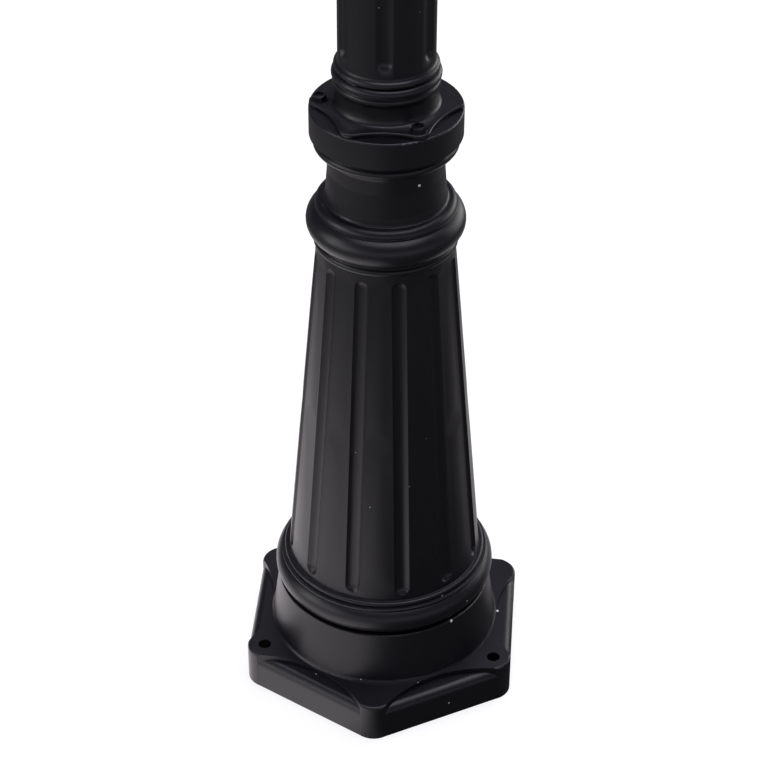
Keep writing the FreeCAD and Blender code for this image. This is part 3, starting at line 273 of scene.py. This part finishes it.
# Drawn tungsten: dark grey wire, slightly crystalline
def drawnTungsten():
    material, tree, shader = newMaterial("drawnTungsten", "#6b6a6c", 0.4, Metallic=1.0)
    addGrain(tree, shader, 0.3, 0.004)
    return material


finishes = {
    "black_coat": powderCoat(),
    "black_bolt": blackSteel(),
    "zinc_steel": zincSteel(),
    "bare_aluminium": drawnAluminium(),
    "brass": machinedBrass(),
    "bulb_cap_metal": nickelPlate(),
    "bulb_glass": blownGlass(),
    "clear_glass": waterWhiteGlass(),
    "porcelain": glazedPorcelain(),
    "terminal_plastic": mouldedPolyamide(),
    "lead_sheath": pvcSheath(),
}
tungsten = drawnTungsten()

for part in frame["record"]["subparts"]:
    for materialSlot in cadNodes[part["node"]].material_slots:
        materialSlot.material = finishes[part["material_slot"]]
print("materials done")


# Making pieces

def finishPiece(mesh, name, body, slotName, material=None, sharpFrom=35):
    # Edges sharper than sharpFrom degrees stay sharp; the slot's own finish serves where no material is given
    merged = bmesh.new()
    merged.from_mesh(mesh)
    bmesh.ops.remove_doubles(merged, verts=merged.verts, dist=weld)
    bmesh.ops.recalc_face_normals(merged, faces=merged.faces)
    merged.to_mesh(mesh)
    merged.free()
    mesh.shade_smooth()
    mesh.set_sharp_from_angle(angle=math.radians(sharpFrom))
    mesh.materials.clear()
    mesh.materials.append(material or finishes[slotName])
    piece = bpy.data.objects.new(name, mesh)
    bpy.context.scene.collection.objects.link(piece)
    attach(piece, body)
    return piece


def toMesh(bm, name):
    mesh = bpy.data.meshes.new(name)
    bm.to_mesh(mesh)
    bm.free()
    return mesh


def addPart(bm, part):
    # Adds one shape to another and frees it
    mesh = toMesh(part, "part")
    bm.from_mesh(mesh)
    bpy.data.meshes.remove(mesh)


def pushOut(bm, faces, up):
    # Extrudes faces up by millimetres, or down where that is below zero
    raised = bmesh.ops.extrude_face_region(bm, geom=faces)["geom"]
    tops = [part for part in raised if isinstance(part, bmesh.types.BMVert)]
    bmesh.ops.translate(bm, verts=tops, vec=(0, 0, up * mm))


def turnedShape(bm, profile, steps):
    # Spins an outline of radius and height, in millimetres, about Z
    spots = [bm.verts.new((radius * mm, 0, high * mm)) for radius, high in profile]
    lines = [bm.edges.new(pair) for pair in zip(spots, spots[1:])]
    bmesh.ops.spin(bm, geom=spots + lines, cent=(0, 0, 0), axis=(0, 0, 1), angle=math.tau, steps=steps,
                   use_merge=True)
    bmesh.ops.remove_doubles(bm, verts=bm.verts, dist=weld)


def barAlong(bm, spots, radius, closed=False):
    # A round bar through points in millimetres
    curve = bpy.data.curves.new("bar", "CURVE")
    curve.dimensions = "3D"
    curve.bevel_depth = radius * mm
    curve.bevel_resolution = 3
    curve.use_fill_caps = not closed
    line = curve.splines.new("POLY")
    line.points.add(len(spots) - 1)
    for point, spot in zip(line.points, spots):
        point.co = (*(Vector(spot) * mm), 1)
    line.use_cyclic_u = closed
    holder = bpy.data.objects.new("bar", curve)
    mesh = bpy.data.meshes.new_from_object(holder)
    bm.from_mesh(mesh)
    bpy.data.objects.remove(holder)
    bpy.data.curves.remove(curve)
    bpy.data.meshes.remove(mesh)


def hexRing(corner, high):
    # The six corners of a hexagon, at 30 degrees and every 60 after it
    return [(corner * math.cos(math.radians(turn)), corner * math.sin(math.radians(turn)), high)
            for turn in range(30, 390, 60)]


def spinBy(degrees, axis="Z"):
    return Matrix.Rotation(math.radians(degrees), 4, axis)


def moveBy(x, y, z):
    return Matrix.Translation(Vector((x, y, z)) * mm)


def placeOf(side):
    # The lantern's own axes: its X points away from the post
    low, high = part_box(side + "_cup")
    middle = (low + high) / 2
    return Matrix.Translation((middle.x, middle.y, low.z)) @ spinBy(headTurns[side])


# Fasteners

boltLook = {
    "across": 8.0,
    "tall": 3.5,
    "edge": 0.45,
    "rim": 1.5,
    "dish": 1.1,
    "washer": 5.2,
    "washerThick": 0.6,
    "washerEdge": 0.15,
    "washerSunk": 0.05,  # the washer's underside lies this deep in its seat
}


def hexBolt(bm, place, shank, shankLong):
    # Hexagon head with a dished top on a washer; place puts its seat, +Z out of the head
    look = boltLook
    head = bmesh.new()
    corner = look["across"] / 2 / math.cos(math.pi / 6)
    bmesh.ops.create_circle(head, cap_ends=True, segments=6, radius=corner * mm)
    pushOut(head, head.faces[:], look["tall"])
    top = max(head.faces, key=lambda face: face.calc_center_median().z)
    rimEdges = list(top.edges)
    bmesh.ops.inset_individual(head, faces=[top], thickness=look["rim"] * mm)
    bmesh.ops.bevel(head, geom=rimEdges, offset=look["edge"] * mm, segments=2, affect="EDGES", profile=0.5,
                    material=-1)
    floor = [face for face in head.faces
             if face.normal.z > level and face.calc_center_median().xy.length < onAxis]
    pushOut(head, floor, -look["dish"])
    bmesh.ops.delete(head, geom=floor, context="FACES")
    washer, low, high = look["washer"], -look["washerSunk"], look["washerThick"]
    turnedShape(head, ((shank, -shankLong), (shank, low), (washer, low), (washer, high - look["washerEdge"]),
                       (washer - look["washerEdge"], high), (shank, high)), 24)
    bmesh.ops.transform(head, matrix=place, verts=head.verts)
    addPart(bm, head)


def radialPlace(turn, far, high):
    # +Z of what is placed points away from the post
    return spinBy(turn) @ moveBy(far, 0, high) @ spinBy(90, "Y")


flangeBoltSpot = {"far": 41.5, "seat": 448.0, "shank": 2.45, "long": 15.0, "headTurn": 18}


def flangeBolts():
    look = flangeBoltSpot
    bm = bmesh.new()
    for turn in boltTurns:
        place = spinBy(turn) @ moveBy(look["far"], 0, look["seat"]) @ spinBy(look["headTurn"])
        hexBolt(bm, place, look["shank"], look["long"])
    piece = finishPiece(toMesh(bm, "flangeBolts"), "flangeBolts", "post", "black_bolt")
    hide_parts("flange_bolts")


# The six bolts that hold the arms on the hub's bosses
armBoltSpot = {
    "seat": 62.0,
    "off": 16.6,
    "heads": ((-1, 11), (1, 34)),  # lower and upper bolt, and how far each head is turned
    "shank": 2.45,
    "long": 18.0,
}


def armBolts():
    look = armBoltSpot
    bm = bmesh.new()
    for turn in headTurns.values():
        for sign, headTurn in look["heads"]:
            place = radialPlace(turn, look["seat"], armHigh + sign * look["off"]) @ spinBy(headTurn)
            hexBolt(bm, place, look["shank"], look["long"])
    piece = finishPiece(toMesh(bm, "armBolts"), "armBolts", "post", "black_bolt")
    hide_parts("arm_bolts")


# Socket set screws of the collar and the hub: inner and outer end, in millimetres from the axis
setScrewSpots = {
    "collar_screws": {"inner": 24.5, "outer": 33.5, "high": 1075.0},
    "hub_screws": {"inner": 25.5, "outer": 34.5, "high": 1700.0},
}
setScrewLook = {
    "radius": 2.45,
    "edge": 0.4,
    "socket": 1.35,
    "deep": 2.4,
    "cup": 1.2,  # radius of the cup point, which is half as deep
    "point": (0.5, 0.6),  # step in radius and in height at the point
}


def setScrew(bm, place, long):
    # A headless screw with a hexagonal socket; place puts its outer end, +Z out of it
    look = setScrewLook
    part = bmesh.new()
    radius, slant = look["radius"], look["edge"]
    inset, taper = look["point"]
    turnedShape(part, ((0, -long + look["cup"] * 0.5), (look["cup"], -long), (radius - inset, -long),
                       (radius, -long + taper), (radius, -slant), (radius - slant, 0)), 24)
    rim = [edge for edge in part.edges if edge.is_boundary]
    mouth = bmesh.ops.create_circle(part, cap_ends=True, segments=6, radius=look["socket"] * mm)["verts"]
    floor = [face for face in part.faces if len(face.verts) == 6]
    pushOut(part, floor, -look["deep"])
    bmesh.ops.delete(part, geom=floor, context="FACES_ONLY")
    mouthEdges = [edge for edge in part.edges if edge.verts[0] in mouth and edge.verts[1] in mouth]
    bmesh.ops.bridge_loops(part, edges=rim + mouthEdges)
    bmesh.ops.transform(part, matrix=place, verts=part.verts)
    addPart(bm, part)


def setScrews():
    for node, spot in setScrewSpots.items():
        bm = bmesh.new()
        for turn in boltTurns:
            setScrew(bm, radialPlace(turn, spot["outer"], spot["high"]), spot["outer"] - spot["inner"])
        piece = finishPiece(toMesh(bm, node), node + "Socket", "post", "zinc_steel")
        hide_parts(node)


flangeBolts()
armBolts()
setScrews()
print("fasteners done")


# Arms and post: cast rings that finish the plain tubes

armRingLook = {
    "tube": 11.0,
    "rings": ((66.4, 2.6), (70.6, 1.3)),  # distance from the post's axis and size of each bead, by the flange
    "rise": (169.96, 1775.35, 80.0),  # centre and radius of the arm's last bend
    "seatRings": ((7.0, 2.2), (10.6, 1.2)),  # degrees before the bend's end and size of each bead
    "stand": 0.35,  # share of its size that a bead's middle stands out of the surface
}


def beadRing(bm, radius, bead, place):
    # A round bead about +Z of place
    section = bmesh.new()
    bmesh.ops.create_circle(section, segments=14, radius=bead * mm)
    bmesh.ops.rotate(section, verts=section.verts, matrix=Matrix.Rotation(math.pi / 2, 3, "X"))
    middle = Vector((radius + bead * armRingLook["stand"], 0, 0)) * mm
    bmesh.ops.translate(section, verts=section.verts, vec=middle)
    bmesh.ops.spin(section, geom=section.verts[:] + section.edges[:], cent=(0, 0, 0), axis=(0, 0, 1),
                   angle=math.tau, steps=64, use_merge=True)
    bmesh.ops.remove_doubles(section, verts=section.verts, dist=weld)
    bmesh.ops.transform(section, matrix=place, verts=section.verts)
    addPart(bm, section)


def armRings(side):
    look = armRingLook
    turn = headTurns[side]
    bm = bmesh.new()
    for far, bead in look["rings"]:
        beadRing(bm, look["tube"], bead, radialPlace(turn, far, armHigh))
    out, up, bend = look["rise"]
    for before, bead in look["seatRings"]:
        lean = math.radians(before)
        spot = moveBy(out + bend * math.cos(lean), 0, up - bend * math.sin(lean))
        beadRing(bm, look["tube"], bead, spinBy(turn) @ spot @ spinBy(before, "Y"))
    finishPiece(toMesh(bm, "armRings"), side + "ArmRings", "post", "black_coat")


for side in headTurns:
    armRings(side)
print("arm rings done")


# Lower pole: its skirt under the rings is slimmer than the CAD's, as it stands in the photograph
skirtLook = {
    "seat": 448.0,
    "slope": ((0, 34.4), (1.2, 33.2), (3.5, 32.4), (13.6, 32.2)),  # height over the plate and radius
    "ring": {"top": 18.9, "from": 33.0, "to": 32.2, "stand": 0.7},  # the lowest ring, drawn in and flatter
    "outside": 31.0,  # the bore and the plate's lobes stay as they are
    "widest": 37.7,
    "slack": 0.01,
}


def skirtRadius(high, radius):
    slope, ring = skirtLook["slope"], skirtLook["ring"]
    if high > slope[-1][0]:
        return ring["to"] + (radius - ring["from"]) * ring["stand"]
    (low, inner), (top, outer) = next(pair for pair in zip(slope, slope[1:]) if high <= pair[1][0])
    return min(radius, inner + (outer - inner) * max(high - low, 0) / (top - low))


def slimPole():
    look = skirtLook
    bm = bmesh.new()
    bm.from_mesh(cadNodes["lower_pole"].data)
    for v in bm.verts:
        high = v.co.z / mm - look["seat"]
        radius = v.co.xy.length / mm
        if -look["slack"] < high < look["ring"]["top"] and look["outside"] < radius < look["widest"]:
            v.co.xy *= skirtRadius(high, radius) / radius
    piece = finishPiece(toMesh(bm, "slimPole"), "lowerPole", "post", "black_coat")
    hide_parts("lower_pole")


slimPole()
print("lower pole done")


# Lanterns: what a founder adds to the plain cage and roof

lanternTrim = {
    "cornerBead": 1.7,
    "cornerSpan": (47, 227),  # heights over the seat
    "cornerStand": 0.2,  # how far the middle of a bead stands out of the cage's corner
    "bandStand": 0.4,
    "sillBead": 1.5,
    "sillHigh": 44.6,
    "lintelBead": 1.8,
    "lintelHigh": 224.5,
    "ridgeBead": 2.3,
    "ballRadius": 4.6,
    "ballFar": 107.5,
    "ballHigh": 244.6,
    "chimneyBead": 2.0,
    "chimneyHigh": 318.5,
    "chimneyHalf": 22.0,
    "hoodBead": 1.5,
    "hoodHigh": 336.2,
    "hoodIn": 1.6,
}


def cageAt(high):
    # Distance of the cage's outer corner from its axis, at a height over the seat
    low, top = lantern["cageLow"], lantern["cageTop"]
    foot, head = lantern["cageFoot"], lantern["cageHead"]
    return foot + (head - foot) * (high - low) / (top - low)


def cageBeads(side):
    look = lanternTrim
    bm = bmesh.new()
    low, high = (hexRing(cageAt(spot) + look["cornerStand"], spot) for spot in look["cornerSpan"])
    for pair in zip(low, high):
        barAlong(bm, pair, look["cornerBead"])
    for height, bead in ((look["sillHigh"], look["sillBead"]), (look["lintelHigh"], look["lintelBead"])):
        barAlong(bm, hexRing(cageAt(height) + look["bandStand"], height), bead, closed=True)
    bmesh.ops.transform(bm, matrix=placeOf(side), verts=bm.verts)
    finishPiece(toMesh(bm, "cageBeads"), side + "CageBeads", "post", "black_coat")


def roofBeads(side):
    look = lanternTrim
    bm = bmesh.new()
    rings = [hexRing(corner, high) for corner, high in lantern["roofSlope"]]
    for spots in zip(*rings):
        barAlong(bm, spots, look["ridgeBead"])
    for spot in hexRing(look["ballFar"], look["ballHigh"]):
        bmesh.ops.create_uvsphere(bm, u_segments=20, v_segments=12, radius=look["ballRadius"] * mm,
                                  matrix=moveBy(*spot))
    beadRing(bm, look["chimneyHalf"], look["chimneyBead"], moveBy(0, 0, look["chimneyHigh"]))
    beadRing(bm, lantern["hoodRim"] - look["hoodIn"], look["hoodBead"], moveBy(0, 0, look["hoodHigh"]))
    bmesh.ops.transform(bm, matrix=placeOf(side), verts=bm.verts)
    finishPiece(toMesh(bm, "roofBeads"), side + "RoofBeads", "roof_" + side, "black_coat")


thumbLook = {
    "shank": 2.5,
    "shankLow": 229.3,
    "head": 7.4,
    "valley": 0.9,  # scale of the knurl's valleys
    "tall": 6.2,
    "teeth": 24,
    "button": 5.2,
    "buttonTall": 1.7,
    "slot": 0.6,
    "slotDeep": 1.3,
    "headEdge": 0.3,
    "edge": 0.4,
    "sunk": 0.5,  # how deep the button and the shank reach into the head
}


def thumbButton():
    # The slotted button on the knurled head
    look = thumbLook
    radius, low, top = look["button"], look["tall"] - look["sunk"], look["tall"] + look["buttonTall"]
    button = bmesh.new()
    turnedShape(button, ((0, low), (radius, low), (radius, top - look["edge"]), (radius - look["edge"], top),
                         (0, top)), 32)
    for across in (-look["slot"], look["slot"]):
        bmesh.ops.bisect_plane(button, geom=button.verts[:] + button.edges[:] + button.faces[:],
                               plane_co=(across * mm, 0, 0), plane_no=(1, 0, 0), dist=weld * 0.1)
    floor = []
    for face in button.faces:
        middle = face.calc_center_median() / mm
        if face.normal.z > level and middle.z > top - look["edge"] / 4 and abs(middle.x) < look["slot"]:
            floor.append(face)
    pushOut(button, floor, -look["slotDeep"])
    bmesh.ops.delete(button, geom=floor, context="FACES")
    return button


def thumbScrew(side):
    look = thumbLook
    seat = lantern["latchSeat"]
    shank, edge = look["shank"], look["edge"]
    bm = bmesh.new()
    teeth = bmesh.ops.create_circle(bm, cap_ends=True, segments=look["teeth"] * 2, radius=look["head"] * mm)
    bmesh.ops.scale(bm, vec=(look["valley"], look["valley"], 1), verts=teeth["verts"][::2])
    pushOut(bm, bm.faces[:], look["tall"])
    rims = [line for line in bm.edges if abs(line.verts[0].co.z - line.verts[1].co.z) < weld]
    bmesh.ops.bevel(bm, geom=rims, offset=look["headEdge"] * mm, segments=2, affect="EDGES", profile=0.5,
                    material=-1)
    addPart(bm, thumbButton())
    bmesh.ops.translate(bm, verts=bm.verts, vec=(0, 0, seat * mm))
    low, top = look["shankLow"], seat + look["sunk"]
    turnedShape(bm, ((0, low), (shank - edge, low), (shank, low + edge), (shank, top), (0, top)), 24)
    bmesh.ops.transform(bm, matrix=placeOf(side) @ moveBy(-lantern["latchFar"], 0, 0), verts=bm.verts)
    piece = finishPiece(toMesh(bm, "thumbScrew"), side + "ThumbScrew", "thumb_" + side, "brass")
    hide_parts(side + "_thumb_screw")


# Inside of each bulb: a pressed glass stem, two lead-in wires and a cage of tungsten filament
filamentLook = {
    "stem": ((0, 60.5), (9.5, 60.5), (7.5, 64), (4.2, 70), (3.2, 78), (3.6, 84), (1.6, 86.5), (0, 87)),
    "stemSharp": 60,
    "wire": 0.4,
    "strut": 0.2,
    "thread": 0.28,  # a real filament is a tenth of this; it is drawn as thick as it needs to show
    "leads": ((0.8, 64), (1.6, 86)),  # distance from the axis and height where each lead-in wire bends
    "rod": (86, 107),  # foot and top of the glass rod's wire between them
    "low": (6.5, 90),  # radius and height of the cage's lower and upper turns
    "high": (11, 124),
    "struts": {"high": 107, "low": 104},  # heights on the rod of the struts that hold the turns
    "turns": 8,
}


def ringSpot(ring, turn):
    radius, high = ring
    return radius * math.cos(turn), radius * math.sin(turn), high


def filament(side):
    look = filamentLook
    place = placeOf(side)
    bm = bmesh.new()
    turnedShape(bm, look["stem"], 32)
    bmesh.ops.transform(bm, matrix=place, verts=bm.verts)
    finishPiece(toMesh(bm, "stem"), side + "BulbStem", "bulb_" + side, "bulb_glass",
                sharpFrom=look["stemSharp"])

    bm = bmesh.new()
    around = [math.tau * step / look["turns"] for step in range(look["turns"])]
    spots = []
    for step, turn in enumerate(around):
        ends = ("low", "high") if step % 2 == 0 else ("high", "low")
        spots += [ringSpot(look[end], turn) for end in ends]
    barAlong(bm, spots, look["thread"])
    (inner, low), (outer, high) = look["leads"]
    for spot, sign in ((spots[0], 1), (spots[-1], -1)):
        barAlong(bm, ((inner * sign, 0, low), (outer * sign, 0, high), spot), look["wire"])
    foot, top = look["rod"]
    barAlong(bm, ((0, 0, foot), (0, 0, top)), look["wire"])
    for first, end in ((1, "high"), (0, "low")):
        for turn in around[first::2]:
            barAlong(bm, ((0, 0, look["struts"][end]), ringSpot(look[end], turn)), look["strut"])
    bmesh.ops.transform(bm, matrix=place, verts=bm.verts)
    finishPiece(toMesh(bm, "filament"), side + "Filament", "bulb_" + side, "zinc_steel", tungsten)


for side in headTurns:
    cageBeads(side)
    roofBeads(side)
    thumbScrew(side)
    filament(side)
print("lanterns done")


# Camera, worked out from the photograph: a long lens that looks down at the foot and shaft

cameraLook = {
    "lens": 110.06,
    "sensor": 36,
    "spot": (94.1, -1266.6, 1173.3),
    "turn": 4.281,  # degrees, from +Y towards -X
    "down": 36.618,
    "roll": 0.276,
}


def addCamera():
    look = cameraLook
    data = bpy.data.cameras.new("photoCamera")
    data.lens = look["lens"]
    data.sensor_width = look["sensor"]
    data.clip_start = 0.01
    camera = bpy.data.objects.new("photoCamera", data)
    bpy.context.scene.collection.objects.link(camera)
    swing = spinBy(look["turn"]) @ spinBy(90 - look["down"], "X") @ spinBy(look["roll"])
    camera.matrix_world = moveBy(*look["spot"]) @ swing
    bpy.context.scene.camera = camera


# Studio, in metres and watts: a pale floor and a white background. A wide soft box hangs overhead, two tall
# ones stand left and right, and two small weak ones low on the left and behind on the right.
# Gloss sees graded light instead of the white: bright near the foot on the left and behind, dim further out,
# and a sky that is brightest low in front

studioLook = {
    "ambient": 0.12,
    "lamps": {
        "overhead": {"spot": (0.3, 0.45, 4.2), "aim": (0.3, 0.45, 0), "size": (3.4, 4.2), "power": 216,
                     "tint": "#f1eeff"},
        "leftTall": {"spot": (-3.2, -0.9, 1.4), "aim": (0, 0, 1.2), "size": (0.9, 2.6), "power": 36},
        "rightTall": {"spot": (3.0, 1.6, 1.4), "aim": (0, 0, 1.2), "size": (0.9, 2.6), "power": 15},
        "leftLow": {"spot": (-1.3, -1.1, 0.6), "aim": (0, 0, 0.25), "size": (0.7, 0.7), "power": 3},
        "backRight": {"spot": (1.1, 1.3, 0.6), "aim": (0, 0, 0.2), "size": (0.8, 0.8), "power": 7},
    },
    "floor": {"radius": 9, "under": 0.0003, "matt": 0.8},
    "floorSeen": {"matt": 0.3, "glow": 0.76, "near": 0.8, "far": 2.5},  # the matt share takes the shadow
    "floorGloss": {
        "lit": 1.65,
        "unlit": 0.07,
        "side": (-1, 0, 0),
        "spread": (-0.14, 0.3),
        "near": 0.2,
        "far": 0.8,
        "rest": 0.14,
        "beyond": 0.38,
        "beyondFrom": 1.2,
        "beyondTo": 3.5,
        "tint": "#fdf6fb",
    },
    "behindGloss": {"lit": 0.9, "side": (0, 1, 0), "spread": (0.1, 0.8)},
    "skyGloss": {
        "front": 1.1,
        "rest": 0.12,
        "side": (0, -1, 0),
        "spread": (-0.2, 0.9),
        "low": 0.12,
        "high": 0.5,
        "tint": "#f3f0ff",
    },
}
white = "#ffffff"


def areaLamp(name, look):
    data = bpy.data.lights.new(name, "AREA")
    data.shape = "RECTANGLE"
    data.size, data.size_y = look["size"]
    data.energy = look["power"]
    data.color = toLinear(look.get("tint", white))[:3]
    lamp = bpy.data.objects.new(name, data)
    lamp.visible_camera = False
    bpy.context.scene.collection.objects.link(lamp)
    aim = Vector(look["aim"]) - Vector(look["spot"])
    lamp.location = look["spot"]
    lamp.rotation_euler = aim.to_track_quat("-Z", "Y").to_euler()


def emptyTree(holder):
    holder.use_nodes = True
    holder.node_tree.nodes.clear()
    return holder.node_tree


def glow(tree, kind, tint, strength):
    return addNode(tree, kind, {"Color": toLinear(tint), "Strength": strength}).outputs[0]


def diffuse(tree, grey):
    return addNode(tree, "ShaderNodeBsdfDiffuse", {"Color": (grey, grey, grey, 1)}).outputs[0]


def byRay(tree, soft, gloss, seen):
    # One surface for soft light, one for gloss, and one that the camera sees, also through glass
    path = addNode(tree, "ShaderNodeLightPath").outputs
    either = mathNode(tree, "MAXIMUM", path["Is Camera Ray"], path["Is Transmission Ray"])
    mirrored = addNode(tree, "ShaderNodeMixShader", {0: path["Is Glossy Ray"], 1: soft, 2: gloss}).outputs[0]
    return addNode(tree, "ShaderNodeMixShader", {0: either, 1: mirrored, 2: seen}).outputs[0]


def towards(tree, spot, look):
    # From 0 on the side away from a direction to 1 on the side that it points to
    unit = addNode(tree, "ShaderNodeVectorMath", {0: spot}, operation="NORMALIZE").outputs["Vector"]
    along = addNode(tree, "ShaderNodeVectorMath", {0: unit, 1: look["side"]}, operation="DOT_PRODUCT")
    return grade(tree, along.outputs["Value"], look["spread"], (0, 1), smooth=True)


def studioWorld():
    world = bpy.data.worlds.new("studio")
    bpy.context.scene.world = world
    tree = emptyTree(world)
    sky = studioLook["skyGloss"]
    place = addNode(tree, "ShaderNodeTexCoord").outputs["Generated"]
    front = grade(tree, towards(tree, place, sky), (0, 1), (sky["rest"], sky["front"]))
    up = addNode(tree, "ShaderNodeSeparateXYZ", {"Vector": place}).outputs["Z"]
    strength = grade(tree, up, (sky["low"], sky["high"]), (front, sky["rest"]), smooth=True)
    plain = glow(tree, "ShaderNodeBackground", white, studioLook["ambient"])
    gloss = glow(tree, "ShaderNodeBackground", sky["tint"], strength)
    seen = glow(tree, "ShaderNodeBackground", white, 1.0)
    addNode(tree, "ShaderNodeOutputWorld", {"Surface": byRay(tree, plain, gloss, seen)})


def paleFloor():
    material = bpy.data.materials.new("paleFloor")
    tree = emptyTree(material)
    shine, behind, pale = (studioLook[name] for name in ("floorGloss", "behindGloss", "floorSeen"))
    place = addNode(tree, "ShaderNodeTexCoord").outputs["Object"]
    far = addNode(tree, "ShaderNodeVectorMath", {0: place}, operation="LENGTH").outputs["Value"]
    side = grade(tree, towards(tree, place, shine), (0, 1), (shine["unlit"], shine["lit"]))
    back = mathNode(tree, "MULTIPLY", towards(tree, place, behind), behind["lit"])
    near = mathNode(tree, "MAXIMUM", side, back)
    beyond = grade(tree, far, (shine["beyondFrom"], shine["beyondTo"]), (shine["rest"], shine["beyond"]))
    strength = grade(tree, far, (shine["near"], shine["far"]), (near, beyond), smooth=True)
    gloss = glow(tree, "ShaderNodeEmission", shine["tint"], strength)
    paling = grade(tree, far, (pale["near"], pale["far"]), (pale["glow"], 1.0))
    whitened = glow(tree, "ShaderNodeEmission", white, paling)
    seen = addNode(tree, "ShaderNodeAddShader", {0: diffuse(tree, pale["matt"]), 1: whitened}).outputs[0]
    matt = diffuse(tree, studioLook["floor"]["matt"])
    addNode(tree, "ShaderNodeOutputMaterial", {"Surface": byRay(tree, matt, gloss, seen)})
    return material


def addFloor():
    look = studioLook["floor"]
    bm = bmesh.new()
    bmesh.ops.create_circle(bm, cap_ends=True, segments=96, radius=look["radius"])
    bmesh.ops.translate(bm, verts=bm.verts, vec=(0, 0, -look["under"]))
    floor = bpy.data.objects.new("floor", toMesh(bm, "floor"))
    bpy.context.scene.collection.objects.link(floor)
    floor.data.materials.append(paleFloor())


addCamera()
studioWorld()
for lampName, lampLook in studioLook["lamps"].items():
    areaLamp(lampName + "SoftBox", lampLook)
addFloor()
bpy.context.scene.view_settings.view_transform = "Standard"
print("camera and studio done")
